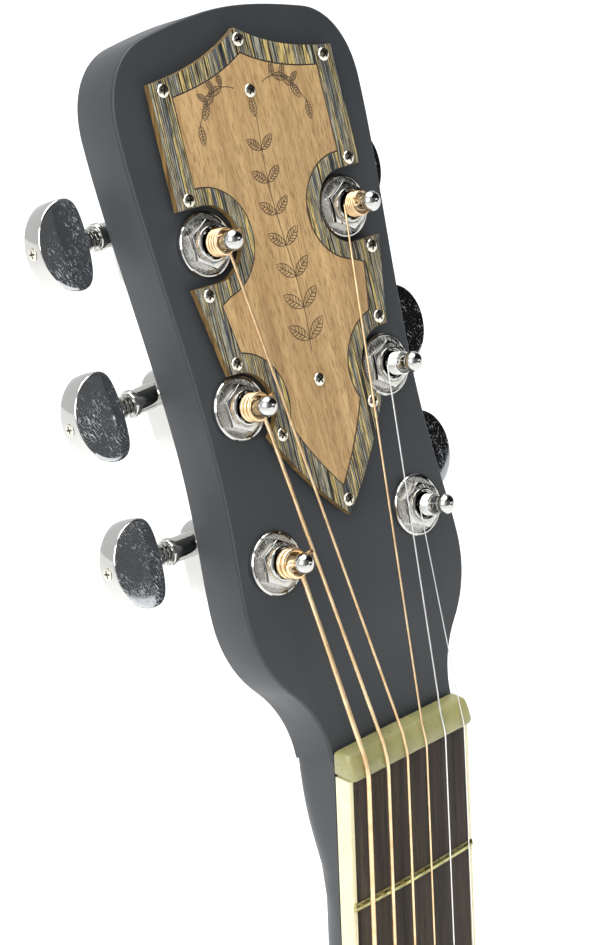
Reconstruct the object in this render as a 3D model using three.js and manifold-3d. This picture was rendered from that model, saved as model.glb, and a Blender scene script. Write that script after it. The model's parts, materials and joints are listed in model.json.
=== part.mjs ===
// A six-string electro-acoustic guitar: a hollow body with a cutaway, a bound rosewood fingerboard,
// a tilted headstock that carries six sealed worm tuners and a screwed-on wooden overlay, and an
// under-saddle pickup with a preamp set into the side.
//
// Millimetres. +Z runs up the neck, -Y comes out of the soundboard and -X is the bass side. The origin
// is on the centre line at the nut's front edge, level with the top of the fingerboard.

import * as THREE from "three";
import { mergeVertices } from "three/addons/utils/BufferGeometryUtils.js";
import Module from "manifold-3d";

// ---------------------------------------------------------------- driving dimensions

const GAP = 0.3; // left between pieces that touch

const SCALE = 648; // nut to saddle
const FRETS = 20;
const STRING_RADII = [0.15, 0.2, 0.3, 0.41, 0.54, 0.67]; // first string to sixth
const NUT_SPREAD = 35.7; // first string to sixth, at the nut
const SADDLE_SPREAD = 55;

const BOARD = { nut: 43.8, end: 57, thick: 5.5, length: 452, radius: 406, binding: 1.6 };
const NUT = { width: 44, thick: 7, rise: 1.2 };
const HEAD = { tilt: THREE.MathUtils.degToRad(15.6), y: 6, z: 5.7, thick: 15 };
const NECK = { depthNut: 15.5, depthHeel: 18, heelStart: -303, heelDepth: 91 };

const BODY = { top: -359.4, length: 505, front: 5.8, depthNeck: 98, depthTail: 123 };
const WALL = 3; // soundboard, back and rim
const EDGE = 2.4; // width of the binding
const HOLE = { z: -509, radius: 50.8 };
const JACK_Y = BODY.front + BODY.depthTail / 2;
const SLANT = Math.atan((BODY.depthTail - BODY.depthNeck) / BODY.length);

// Each tuner's string post, across and up the headstock face. Tuners 4 to 6 are on the bass side.
const POSTS = {
  1: [24.6, 51.7],
  2: [24.9, 89.3],
  3: [23.2, 131.2],
  4: [-22.8, 131.5],
  5: [-24.7, 91.2],
  6: [-25.2, 51.8],
};
const TUNER = { post: 2.9, worm: 7.4, axisBehind: 6.2, teeth: 14, buttonFrom: 19.9, buttonTo: 34.3 };
const TUNER_TURNS = { 1: 2, 2: -4.5, 3: 1.4, 4: 0.4, 5: -3.6, 6: 1.3 }; // degrees, button towards the crown
const CUT = { radius: 9.4, lower: [24.7, 90.3], upper: [23, 131.4] }; // overlay's slots round the posts
const OVERLAY_THICK = 2.7;

const PREAMP = { z: -520, tall: 84, wide: 44, flange: 2, deep: 24, bay: -12.5, knobs: 28 };
const KNOBS = { volume_knob: -13.5, bass_knob: 0, treble_knob: 13.5 };
const SADDLE = { length: 72, thick: 2.8, top: -5.6, slope: 0.045 };
const BRIDGE = { z: -655, width: 152, height: 34, thick: 8.5 };

// ---------------------------------------------------------------- colours and finishes

const finish = (color, roughness, metalness = 0) =>
  new THREE.MeshStandardMaterial({ color, roughness, metalness });

const BLACK_SATIN = finish(0x25282a, 0.45);
const CREAM = finish(0xe6dfb4, 0.4);
const ROSEWOOD = finish(0x3a2a22, 0.6);
const STRIPED_WOOD = finish(0x8d8466, 0.6);
const TAN_WOOD = finish(0xc79a66, 0.6);
const SPRUCE = finish(0xd9bd8a, 0.7);
const CHROME = finish(0xd0d2d4, 0.12, 1);
const BRONZE = finish(0xc98b4a, 0.35, 1);
const STEEL = finish(0xc4c6c8, 0.3, 1);
const BLACK_PLASTIC = finish(0x141414, 0.5);

// ---------------------------------------------------------------- solids

const wasm = await Module();
wasm.setup();

/** A closed geometry as a solid that can be joined and cut. */
function solid(geometry) {
  const open = geometry.index ? geometry.toNonIndexed() : geometry.clone();
  const bare = new THREE.BufferGeometry().setAttribute("position", open.getAttribute("position"));
  const merged = mergeVertices(bare, 1e-4);
  return new wasm.Manifold(
    new wasm.Mesh({
      numProp: 3,
      vertProperties: merged.attributes.position.array,
      triVerts: new Uint32Array(merged.index.array),
    }),
  );
}

/** A solid back as a geometry. */
function shapeOf(made) {
  const { numProp, numVert, vertProperties, triVerts } = made.getMesh();
  const points = new Float32Array(numVert * 3);
  for (let i = 0; i < numVert; i++) {
    points.set(vertProperties.subarray(i * numProp, i * numProp + 3), i * 3);
  }
  return new THREE.BufferGeometry()
    .setAttribute("position", new THREE.BufferAttribute(points, 3))
    .setIndex(new THREE.BufferAttribute(triVerts, 1));
}

const join = (...parts) => shapeOf(parts.map(solid).reduce((a, b) => a.add(b)));
const cut = (part, ...tools) => shapeOf(tools.map(solid).reduce((a, b) => a.subtract(b), solid(part)));
const common = (a, b) => shapeOf(solid(a).intersect(solid(b)));

// ---------------------------------------------------------------- geometry helpers

const box = (x, y, z, cx = 0, cy = 0, cz = 0) => new THREE.BoxGeometry(x, y, z).translate(cx, cy, cz);

/** A cylinder whose axis is X, Y or Z, between two places on that axis. */
function rod(axis, radius, from, to, sides = 24) {
  const made = new THREE.CylinderGeometry(radius, radius, to - from, sides);
  made.translate(0, (from + to) / 2, 0);
  if (axis === "x") made.rotateZ(-Math.PI / 2);
  if (axis === "z") made.rotateX(Math.PI / 2);
  return made;
}

/** A shape drawn in X and Z, made thick from one Y to another. */
function plate(shape, from, to, curveSegments = 16) {
  const made = new THREE.ExtrudeGeometry(shape, {
    depth: to - from,
    bevelEnabled: false,
    curveSegments,
  });
  return made.rotateX(Math.PI / 2).translate(0, to, 0);
}

/** A shape drawn on the headstock face, made thick from one height over the face to another. */
function slab(shape, from, to, curveSegments = 12) {
  const made = new THREE.ExtrudeGeometry(shape, {
    depth: to - from,
    bevelEnabled: false,
    curveSegments,
  });
  return made.translate(0, 0, from);
}

/** A closed geometry with its faces pointing outwards, whichever way round it was drawn. */
function outward(geometry) {
  const corners = geometry.index.array;
  const [a, b, c] = [new THREE.Vector3(), new THREE.Vector3(), new THREE.Vector3()];
  let volume = 0;
  for (let i = 0; i < corners.length; i += 3) {
    [a, b, c].forEach((p, k) => p.fromBufferAttribute(geometry.attributes.position, corners[i + k]));
    volume += a.dot(b.cross(c));
  }
  if (volume > 0) return geometry;
  for (let i = 0; i < corners.length; i += 3) {
    [corners[i + 1], corners[i + 2]] = [corners[i + 2], corners[i + 1]];
  }
  return geometry;
}

/** A closed body through rings of points, which all have the same number of corners. */
function loft(rings) {
  const count = rings[0].length;
  const points = rings.flat().flatMap((p) => [p.x, p.y, p.z]);
  const faces = [];
  for (let r = 0; r < rings.length - 1; r++) {
    for (let i = 0; i < count; i++) {
      const a = r * count + i;
      const b = r * count + ((i + 1) % count);
      faces.push(a, b, b + count, a, b + count, a + count);
    }
  }
  const last = (rings.length - 1) * count;
  for (let i = 1; i < count - 1; i++) {
    faces.push(0, i + 1, i, last, last + i, last + i + 1);
  }
  return outward(
    new THREE.BufferGeometry()
      .setAttribute("position", new THREE.Float32BufferAttribute(points, 3))
      .setIndex(faces),
  );
}

/** A round wire through points, with a mitred joint at each. */
function wire(points, radius, sides = 8) {
  const side = new THREE.Vector3(1, 0, 0);
  const rings = points.map((p, i) => {
    const before = points[Math.max(i - 1, 0)];
    const after = points[Math.min(i + 1, points.length - 1)];
    const along = after.clone().sub(before).normalize();
    const up = along.clone().cross(side).normalize();
    const across = up.clone().cross(along);
    return Array.from({ length: sides }, (_, k) => {
      const a = (2 * Math.PI * k) / sides;
      return p
        .clone()
        .addScaledVector(across, radius * Math.cos(a))
        .addScaledVector(up, radius * Math.sin(a));
    });
  });
  return loft(rings);
}

/** A closed outline moved inwards by a distance, with its corners kept. */
function inset(outline, distance) {
  const count = outline.length;
  const normal = (a, b) => new THREE.Vector2(a.y - b.y, b.x - a.x).normalize();
  return outline.map((p, i) => {
    const n1 = normal(outline[(i + count - 1) % count], p);
    const n2 = normal(p, outline[(i + 1) % count]);
    const middle = n1.clone().add(n2).normalize();
    return p.clone().addScaledVector(middle, distance / Math.max(middle.dot(n1), 0.4));
  });
}

/** The band between an outline and the same outline moved inwards. */
function band(outline, from, to) {
  const shape = new THREE.Shape(inset(outline, from));
  shape.holes.push(new THREE.Path(inset(outline, to).reverse()));
  return shape;
}

/** A rectangle with round corners, by its centre. */
function roundedBox(width, height, radius, cx = 0, cy = 0) {
  const [w, h, r] = [width / 2, height / 2, radius];
  const shape = new THREE.Shape();
  shape.moveTo(cx + w, cy - h + r);
  shape.absarc(cx + w - r, cy + h - r, r, 0, Math.PI / 2);
  shape.absarc(cx - w + r, cy + h - r, r, Math.PI / 2, Math.PI);
  shape.absarc(cx - w + r, cy - h + r, r, Math.PI, 1.5 * Math.PI);
  shape.absarc(cx + w - r, cy - h + r, r, 1.5 * Math.PI, 2 * Math.PI);
  return shape;
}

/** A turned body from its profile of radius and height, about Z. */
const turned = (profile, sides = 24) =>
  new THREE.LatheGeometry(
    profile.map(([r, h]) => new THREE.Vector2(r, h)),
    sides,
  ).rotateX(Math.PI / 2);

// ---------------------------------------------------------------- assembly

const guitar = new THREE.Group();
const headstock = new THREE.Group();
headstock.position.set(0, HEAD.y, HEAD.z);
headstock.rotation.x = Math.PI / 2 - HEAD.tilt; // its X goes across, its Y up the face, its Z out of it
headstock.updateMatrixWorld(true);
guitar.add(headstock);

/** Puts a named piece in a group. */
function place(name, geometry, material, group = guitar) {
  const mesh = new THREE.Mesh(geometry, material);
  mesh.name = name;
  group.add(mesh);
  return mesh;
}

const fretAt = (n) => -SCALE * (1 - 2 ** (-n / 12));
const stringX = (n, spread) => spread * (0.5 - (n - 1) / 5);
const halfBoard = (z) => BOARD.nut / 2 - (z * (BOARD.end - BOARD.nut)) / 2 / BOARD.length;

// ---------------------------------------------------------------- neck and headstock

/** The headstock's outline, across and up its face. */
function headOutline() {
  const right = [
    [[22.6, 9], [25.5, 14.5], [29, 18.5]],
    [[34, 24], [37.3, 31], [37.3, 40]],
    [[37.3, 50], [35, 62], [35, 80]],
    [[35, 106], [39.8, 140], [39.8, 162]],
    [[39.8, 173], [34, 180.6], [26, 182.3]],
    [[18, 184], [9, 185.7], [0, 185.7]],
  ];
  const shape = new THREE.Shape();
  shape.moveTo(22, -2);
  shape.lineTo(22, 2);
  for (const [a, b, c] of right) shape.bezierCurveTo(...a, ...b, ...c);
  const corners = [[22, 2], ...right.map((r) => r[2])];
  for (let i = right.length - 1; i >= 0; i--) {
    const [a, b] = right[i];
    shape.bezierCurveTo(-b[0], b[1], -a[0], a[1], -corners[i][0], corners[i][1]);
  }
  shape.lineTo(-22, -2);
  return shape;
}

/** One D-shaped section of the neck: flat under the fingerboard, round behind. */
function neckSection(z, half, depth, arc = 14) {
  return Array.from({ length: arc + 1 }, (_, i) => {
    const a = (Math.PI * i) / arc;
    return new THREE.Vector3(half * Math.cos(a), BOARD.thick + GAP + depth * Math.sin(a), z);
  });
}

/** How deep the neck is behind the fingerboard, from the nut to the foot of the heel. */
function neckDepth(z) {
  const straight = THREE.MathUtils.mapLinear(z, 0, NECK.heelStart, NECK.depthNut, NECK.depthHeel);
  if (z > NECK.heelStart) return straight;
  const share = (NECK.heelStart - z) / (NECK.heelStart - BODY.top - GAP);
  return NECK.depthHeel + (NECK.heelDepth - NECK.depthHeel) * (1 - Math.sqrt(1 - Math.min(share, 1) ** 2));
}

/** The one-piece neck: headstock, shaft and heel, with the truss rod's channel and the post holes. */
function neck() {
  const end = BODY.top + GAP;
  const stations = [5, 0, -150, NECK.heelStart, -325, -340, -350, -356, end];
  const shaft = loft(stations.map((z) => neckSection(z, halfBoard(Math.min(z, 0)) - 0.1, neckDepth(z))));
  const holes = Object.values(POSTS).map(([u, v]) =>
    rod("z", 5.3, -HEAD.thick - 1, 1).translate(u, v, 0),
  );
  const head = cut(slab(headOutline(), -HEAD.thick, 0, 8), ...holes).applyMatrix4(headstock.matrixWorld);
  const channel = box(7, 20, 400, 0, BOARD.thick + GAP - 0.2, -208);
  const nutSeat = box(60, 20, 7 + GAP, 0, HEAD.y - 10.2, 3.5);
  const fingerboardRoom = box(80, 20, 500, 0, BOARD.thick - 9.7, -250);
  return cut(join(shaft, head), channel, nutSeat, fingerboardRoom);
}

/** The nut's section, drawn as Y against Z: it fills the step at the head of the fingerboard. */
function nut() {
  const profile = [
    [GAP, HEAD.y - 0.5],
    [GAP, -NUT.rise],
    [1.6, -NUT.rise - 0.2],
    [NUT.thick - 1, 0.4],
    [NUT.thick, 1.6],
    [NUT.thick, HEAD.y - 0.5],
  ];
  const half = NUT.width / 2;
  const ring = (x, share) =>
    profile.map(([z, y]) => new THREE.Vector3(x, share * y + (1 - share) * 3, 3.5 + share * (z - 3.5)));
  const ends = [[-half, 0.72], [-half + 1.2, 0.93], [-half + 3, 1], [half - 3, 1], [half - 1.2, 0.93], [half, 0.72]];
  const body = loft(ends.map(([x, share]) => ring(x, share)));
  const slots = STRING_RADII.map((radius, i) => {
    const width = 2 * (radius + GAP);
    return box(width, 6, 12).rotateX(-0.18).translate(stringX(i + 1, NUT_SPREAD), -4.15, 3.5);
  });
  return cut(body, ...slots);
}

/** The fingerboard, with its frets pressed in. */
function fingerboard() {
  const arc = 4;
  const section = (z) => {
    const half = halfBoard(z) - BOARD.binding - GAP;
    const top = Array.from({ length: arc + 1 }, (_, i) => {
      const x = half - (2 * half * i) / arc;
      return new THREE.Vector3(x, (x * x) / 2 / BOARD.radius, z);
    });
    return [new THREE.Vector3(half, BOARD.thick, z), ...top, new THREE.Vector3(-half, BOARD.thick, z)].reverse();
  };
  const board = loft([0, -BOARD.length + BOARD.binding + GAP].map(section));
  const frets = Array.from({ length: FRETS }, (_, i) => {
    const z = fretAt(i + 1);
    const half = halfBoard(z) - BOARD.binding - GAP - 0.2;
    const crown = [[-1.1, 0.7], [-0.6, -0.85], [0.6, -0.85], [1.1, 0.7]];
    return loft(
      [-half, 0, half].map((x) =>
        crown.map(([dz, dy]) => new THREE.Vector3(x, dy + (x * x) / 2 / BOARD.radius, z + dz)),
      ),
    );
  });
  return join(board, ...frets);
}

/** The cream strip round the sides and the far end of the fingerboard. */
function fingerboardBinding() {
  const top = 0.6;
  const strip = (side) =>
    loft(
      [0, -BOARD.length].map((z) => {
        const outer = side * halfBoard(z);
        const inner = outer - side * BOARD.binding;
        const ring = [[outer, BOARD.thick], [outer, top], [inner, top], [inner, BOARD.thick]];
        return ring.map(([x, y]) => new THREE.Vector3(x, y, z));
      }),
    );
  const end = box(BOARD.end - 0.2, BOARD.thick - top, BOARD.binding, 0, (BOARD.thick + top) / 2);
  end.translate(0, 0, -BOARD.length + BOARD.binding / 2);
  return join(strip(1), strip(-1), end);
}

place("neck", neck(), BLACK_SATIN);
place("nut", nut(), CREAM);
place("fingerboard", fingerboard(), ROSEWOOD);
place("fingerboard_binding", fingerboardBinding(), CREAM);
place("truss_rod", box(5.6, 8.4, 340, 0, BOARD.thick + GAP + 5, -178), STEEL);
place(
  "truss_rod_nut",
  cut(rod("z", 4.4, -373, -363, 16), rod("z", 2.4, -374, -367, 6)).translate(0, 15.5, 0),
  STEEL,
);

// ---------------------------------------------------------------- wooden overlay on the headstock

/** One half of the overlay's outline on the treble side, from its foot to its peak. */
function overlayHalf(foot, lower, lowerRadius, upper, upperRadius, side, shoulder, peak) {
  const path = new THREE.Path();
  path.moveTo(0, foot);
  path.quadraticCurveTo(side.footBend[0], side.footBend[1], ...side.footEnd);
  arcRound(path, lower, lowerRadius, side.footEnd, side.lowerTop);
  path.lineTo(...side.waistTop);
  arcRound(path, upper, upperRadius, side.waistTop, side.upperTop);
  path.lineTo(...shoulder);
  path.quadraticCurveTo(...side.peakBend, 0, peak);
  return spaced(path.getPoints(8), 0.4);
}

/** The points that lie at least a distance from the one before. */
function spaced(points, least) {
  const kept = [points[0]];
  for (const p of points.slice(1)) {
    if (p.distanceTo(kept.at(-1)) >= least) kept.push(p);
  }
  return kept;
}

/** Goes round a post's clearance, on the side towards the centre line, from one point to another. */
function arcRound(path, [cx, cy], radius, from, to) {
  const angle = ([x, y]) => {
    if (x >= cx) return y < cy ? -Math.PI / 2 : Math.PI / 2; // a slot's straight lip
    return Math.atan2(y - cy, x - cx);
  };
  path.absarc(cx, cy, radius, angle(from), angle(to), true);
  path.lineTo(...to);
}

const OVERLAY_OUTER = overlayHalf(56.8, CUT.lower, CUT.radius, CUT.upper, CUT.radius, {
  footBend: [11.5, 69],
  footEnd: [19, 81.5],
  lowerTop: [26.9, 99.7],
  waistTop: [31.2, 122],
  upperTop: [30.2, 140.8],
  peakBend: [11, 172.3],
}, [29.9, 171.4], 180.2);

const OVERLAY_INNER = overlayHalf(64.1, CUT.lower, CUT.radius + 4.6, CUT.upper, CUT.radius + 4.1, {
  footBend: [8, 74],
  footEnd: [12.3, 83.9],
  lowerTop: [22, 104],
  waistTop: [24.2, 117.9],
  upperTop: [24, 144.9],
  peakBend: [9, 168.8],
}, [23.8, 167.3], 174.2);

/** Both halves of an overlay outline as one closed shape. */
function mirrored(half, shrink = 0) {
  const other = half.slice(1, -1).map((p) => new THREE.Vector2(-p.x, p.y)).reverse();
  return inset([...half, ...other], shrink);
}

const overlayBorder = new THREE.Shape(mirrored(OVERLAY_OUTER));
overlayBorder.holes.push(new THREE.Path(mirrored(OVERLAY_INNER).reverse()));
const overlayPanel = new THREE.Shape(mirrored(OVERLAY_INNER, GAP));
place("overlay_border", slab(overlayBorder, GAP, GAP + OVERLAY_THICK), STRIPED_WOOD, headstock);
place("overlay_panel", slab(overlayPanel, GAP, GAP + OVERLAY_THICK), TAN_WOOD, headstock);

// ---------------------------------------------------------------- tuners

/** The button's outline, out along the worm from its stem and across it. */
function buttonOutline() {
  const { worm, buttonFrom: near, buttonTo: far } = TUNER;
  const shape = new THREE.Shape();
  shape.moveTo(near, worm);
  shape.bezierCurveTo(near, worm + 6, near + 1.2, worm + 11.3, near + 5.2, worm + 11.3);
  shape.bezierCurveTo(near + 9.8, worm + 11.3, far, worm + 6, far, worm);
  shape.bezierCurveTo(far, worm - 6, near + 9.8, worm - 11.3, near + 5.2, worm - 11.3);
  shape.bezierCurveTo(near + 1.2, worm - 11.3, near, worm - 6, near, worm);
  return shape;
}

/** The button with its stem and worm in one, turning on the worm's axis. */
function tunerButton(wormW) {
  const head = slab(buttonOutline(), wormW - 3.3, wormW + 3.3, 4);
  const along = (radius, from, to) => rod("x", radius, from, to, 10).translate(0, TUNER.worm, wormW);
  return join(head, along(2.4, -4.6, 6), along(1.7, 5, 21.5), along(2.6, 16.7, 19));
}

/** The string post with its worm wheel, turning on the post's axis. */
function tunerPost(wormW) {
  const post = turned([
    [0, wormW - 3.4], [TUNER.post, wormW - 3.4], [TUNER.post, 6.4], [2, 7.6], [2, 8.8], [2.65, 10.3], [2.65, 12.3],
    [1.5, 13.6], [0, 13.6],
  ], 10);
  const wheel = new THREE.Shape();
  const corners = 2 * TUNER.teeth;
  for (let i = 0; i < corners; i++) {
    const radius = i % 2 ? 4.4 : 3.5;
    const a = (2 * Math.PI * i) / corners;
    wheel[i ? "lineTo" : "moveTo"](radius * Math.cos(a), radius * Math.sin(a));
  }
  return join(post, slab(wheel, wormW - 2.5, wormW + 2.5));
}

/** The cast gearbox behind the headstock, hollow for the wheel and the worm. */
function tunerHousing(wormW) {
  const back = -HEAD.thick - GAP;
  const shell = slab(roundedBox(17, 21, 5, 0, 2.2), back - 11.4, back, 3);
  const nose = rod("x", 3.6, 7, 16.1, 12).translate(0, TUNER.worm, wormW);
  const lug = slab(roundedBox(7, 10, 3.4, 0, -11), back - 2.5, back, 3);
  const wheelRoom = rod("z", 4.8, wormW - 3.8, back + 1, 16);
  const wormRoom = rod("x", 2.9, -5.2, 17, 12).translate(0, TUNER.worm, wormW);
  return cut(join(shell, nose, lug), wheelRoom, wormRoom);
}

/** The threaded bushing that clamps the tuner: washer, hexagon and barrel. */
function tunerBushing() {
  const washer = rod("z", 8, GAP, 1.3, 20);
  const hexagon = rod("z", 6.2, 1.2, 3.5, 6);
  const barrel = rod("z", 5, -9, 1, 12);
  return cut(join(washer, hexagon, barrel), rod("z", 3.3, -10, 5, 12));
}

for (const [number, [u, v]] of Object.entries(POSTS)) {
  const tuner = new THREE.Group();
  tuner.position.set(u, v, 0);
  tuner.scale.x = Math.sign(u); // the bass-side tuners are mirror images
  tuner.rotation.z = Math.sign(u) * THREE.MathUtils.degToRad(TUNER_TURNS[number]);
  headstock.add(tuner);
  const wormW = -HEAD.thick - TUNER.axisBehind;
  place(`tuner_${number}_button`, tunerButton(wormW), CHROME, tuner);
  place(`tuner_${number}_post`, tunerPost(wormW), CHROME, tuner);
  place(`tuner_${number}_housing`, tunerHousing(wormW), CHROME, tuner);
  place(`tuner_${number}_bushing`, tunerBushing(), CHROME, tuner);
}

// ---------------------------------------------------------------- body

/** The body's outline seen from the front, anticlockwise from the neck: full bass side, cutaway treble side. */
function bodyOutline() {
  const top = BODY.top;
  const tail = top - BODY.length;
  const path = new THREE.Path();
  path.moveTo(30, top);
  path.lineTo(-30, top);
  path.bezierCurveTo(-100, top, -146, top - 50, -146, top - 118);
  path.bezierCurveTo(-146, top - 152, -136.5, top - 172, -136.5, top - 208);
  path.bezierCurveTo(-136.5, top - 262, -198.5, top - 300, -198.5, top - 376);
  path.bezierCurveTo(-198.5, top - 462, -110, tail, 0, tail);
  path.bezierCurveTo(110, tail, 198.5, top - 462, 198.5, top - 376);
  path.bezierCurveTo(198.5, top - 300, 136.5, top - 262, 136.5, top - 208);
  path.bezierCurveTo(136.5, top - 172, 146, top - 152, 146, top - 118);
  path.bezierCurveTo(146, top - 74, 128, top - 38, 98, top - 38);
  path.bezierCurveTo(78, top - 38, 74, top - 60, 55, top - 60);
  path.bezierCurveTo(38, top - 60, 30, top - 36, 30, top);
  return path.getPoints(7).slice(0, -1);
}

/** Moves a piece drawn on a level back, with the neck's edge at Z = 0, onto the slanted back. */
const onBack = (geometry) => geometry.rotateX(SLANT).translate(0, BODY.front + BODY.depthNeck, BODY.top);

/** A slab parallel to the back, between two depths under its outer face. */
const backSlab = (from, to) => onBack(box(600, to - from, 1200, 0, -(from + to) / 2, 0));

const OUTLINE = bodyOutline();
const INSIDE = BODY.front + WALL; // the inner face of the soundboard
const frontOf = (geometry) => cut(geometry, backSlab(-300, WALL + GAP)); // leaves room for the back

/** The soundboard, inside its binding, with the soundhole. */
function soundboard() {
  const shape = new THREE.Shape(inset(OUTLINE, EDGE + GAP));
  shape.holes.push(new THREE.Path().absarc(0, HOLE.z, HOLE.radius, 0, 2 * Math.PI, true));
  return plate(shape, BODY.front, INSIDE);
}

/** The slanted back, inside its binding. */
function back() {
  return common(plate(new THREE.Shape(inset(OUTLINE, EDGE + GAP)), 60, 160), backSlab(0, WALL));
}

/** Where the preamp sits: on the bass side's flattest stretch. */
function preampSeat() {
  const count = OUTLINE.length;
  const onSide = OUTLINE.map((p, i) => [p, OUTLINE[(i + 1) % count]]).find(
    ([a, b]) => a.x < 0 && a.y >= PREAMP.z && b.y < PREAMP.z,
  );
  const [a, b] = onSide;
  const share = (a.y - PREAMP.z) / (a.y - b.y);
  const x = THREE.MathUtils.lerp(a.x, b.x, share);
  const seat = new THREE.Group();
  seat.position.set(x, BODY.front + BODY.depthNeck / 2 + 4, PREAMP.z);
  seat.rotation.y = -0.09; // the side leans in a little towards the waist
  seat.updateMatrixWorld(true);
  return seat;
}

const preamp = preampSeat();
guitar.add(preamp);

/** The bent sides, with the preamp's window and the jack's hole. */
function rim() {
  const ring = frontOf(plate(band(OUTLINE, 0, WALL), INSIDE + GAP, 160));
  const opening = box(30, PREAMP.wide - 3, PREAMP.tall - 3, 0, 0, 0).applyMatrix4(preamp.matrixWorld);
  const jackHole = rod("z", 6.4, BODY.top - BODY.length - 20, BODY.top - BODY.length + 20);
  return cut(ring, opening, jackHole.translate(0, JACK_Y, 0));
}

/** The block that the neck's heel is fixed to. */
function neckBlock() {
  const blank = box(54, 160, 50, -3, INSIDE + GAP + 80, BODY.top - WALL - GAP - 25);
  const keyHole = rod("z", 6, BODY.top - 80, BODY.top + 5).translate(0, 15.5, 0);
  return cut(frontOf(blank), keyHole);
}

/** The block at the tail, shaped to the inside of the rim and bored for the jack. */
function tailBlock() {
  const tail = BODY.top - BODY.length;
  const inner = plate(new THREE.Shape(inset(OUTLINE, WALL + GAP)), INSIDE + GAP, 160);
  const blank = common(inner, box(90, 300, 25, 0, 100, tail + 12));
  return cut(frontOf(blank), rod("z", 6.4, tail - 5, tail + 40).translate(0, JACK_Y, 0));
}

/** The two crossed braces under the soundboard, halved into each other. */
function xBrace() {
  const crossing = HOLE.z - 76;
  const lean = THREE.MathUtils.degToRad(49); // from straight across
  const bar = (side) =>
    box(8, 13, 350, 0, INSIDE + GAP + 6.5, -42)
      .rotateY(side * lean)
      .translate(0, 0, crossing);
  return join(bar(1), bar(-1));
}

/** The ladder of braces on the back, joined by the strip over its centre seam. */
function backBraces() {
  const bar = (z, width) => box(width, 12, 14, 0, -WALL - GAP - 6, z);
  const strip = box(18, 2, 420, 0, -WALL - GAP - 1, -270);
  return onBack(join(strip, bar(-85, 240), bar(-165, 250), bar(-280, 300), bar(-390, 350)));
}

/** The bridge: a long bar with a belly behind the saddle, slotted for the saddle and pickup. */
function bridge() {
  const { width, height, z, thick } = BRIDGE;
  const [w, h] = [width / 2, height / 2];
  const shape = new THREE.Shape();
  shape.moveTo(w, z + h - 4);
  shape.lineTo(w, z + h - 22);
  shape.bezierCurveTo(w - 18, z + h - 24, 40, z - h, 0, z - h);
  shape.bezierCurveTo(-40, z - h, -w + 18, z + h - 24, -w, z + h - 22);
  shape.lineTo(-w, z + h - 4);
  shape.quadraticCurveTo(-w, z + h, -w + 4, z + h);
  shape.lineTo(w - 4, z + h);
  shape.quadraticCurveTo(w, z + h, w, z + h - 4);
  const blank = plate(shape, BODY.front - GAP - thick, BODY.front - GAP, 8);
  return cut(blank, onSaddle(box(SADDLE.length + 0.8, 20, SADDLE.thick + 0.6, 0, SADDLE_FLOOR - 10, 0)));
}

const SADDLE_FLOOR = BODY.front - 2.4; // the bottom of the saddle's slot
const onSaddle = (geometry) => geometry.rotateY(-SADDLE.slope).translate(0, 0, -SCALE);

/** The saddle, with a crowned top under the strings. */
function saddle() {
  const half = SADDLE.length / 2;
  const shape = new THREE.Shape();
  shape.moveTo(-half, SADDLE_FLOOR - 1.5);
  shape.lineTo(half, SADDLE_FLOOR - 1.5);
  shape.lineTo(half, SADDLE.top + 2);
  shape.quadraticCurveTo(0, SADDLE.top - 1.4, -half, SADDLE.top + 2);
  const made = new THREE.ExtrudeGeometry(shape, {
    depth: SADDLE.thick,
    bevelEnabled: false,
    curveSegments: 12,
  });
  return onSaddle(made.translate(0, 0, -SADDLE.thick / 2));
}

/** The scratchplate, which follows the soundhole on the treble side. */
function pickguard() {
  const shape = new THREE.Shape();
  const ring = HOLE.radius + 12;
  const start = THREE.MathUtils.degToRad(38);
  const end = THREE.MathUtils.degToRad(-88);
  shape.moveTo(ring * Math.cos(start), HOLE.z + ring * Math.sin(start));
  shape.absarc(0, HOLE.z, ring, start, end, true);
  shape.bezierCurveTo(8, HOLE.z - 92, 30, HOLE.z - 108, 62, HOLE.z - 106);
  shape.bezierCurveTo(104, HOLE.z - 103, 118, HOLE.z - 64, 104, HOLE.z - 28);
  shape.bezierCurveTo(94, HOLE.z - 2, 84, HOLE.z + 22, 72, HOLE.z + 44);
  shape.bezierCurveTo(66, HOLE.z + 52, 58, HOLE.z + 48, ring * Math.cos(start), HOLE.z + ring * Math.sin(start));
  return plate(shape, BODY.front - GAP - 1.2, BODY.front - GAP, 8);
}

place("soundboard", soundboard(), BLACK_SATIN);
place("back", back(), BLACK_SATIN);
place("rim", rim(), BLACK_SATIN);
place("front_binding", plate(band(OUTLINE, 0, EDGE), BODY.front, INSIDE), CREAM);
place("back_binding", common(plate(band(OUTLINE, 0, EDGE), 60, 160), backSlab(0, WALL)), CREAM);
place("neck_block", neckBlock(), SPRUCE);
place("tail_block", tailBlock(), SPRUCE);
place("x_brace", xBrace(), SPRUCE);
place("back_braces", backBraces(), SPRUCE);
place("bridge_plate", box(84, 2.5, 34, 0, INSIDE + GAP + 1.25, -665), SPRUCE);
place("bridge", bridge(), ROSEWOOD);
place("saddle", saddle(), CREAM);
place("piezo_pickup", onSaddle(box(70, 0.9, 2.4, 0, SADDLE_FLOOR - 0.75, 0)), STEEL);
place("pickguard", pickguard(), BLACK_PLASTIC);

// ---------------------------------------------------------------- strings

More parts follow.
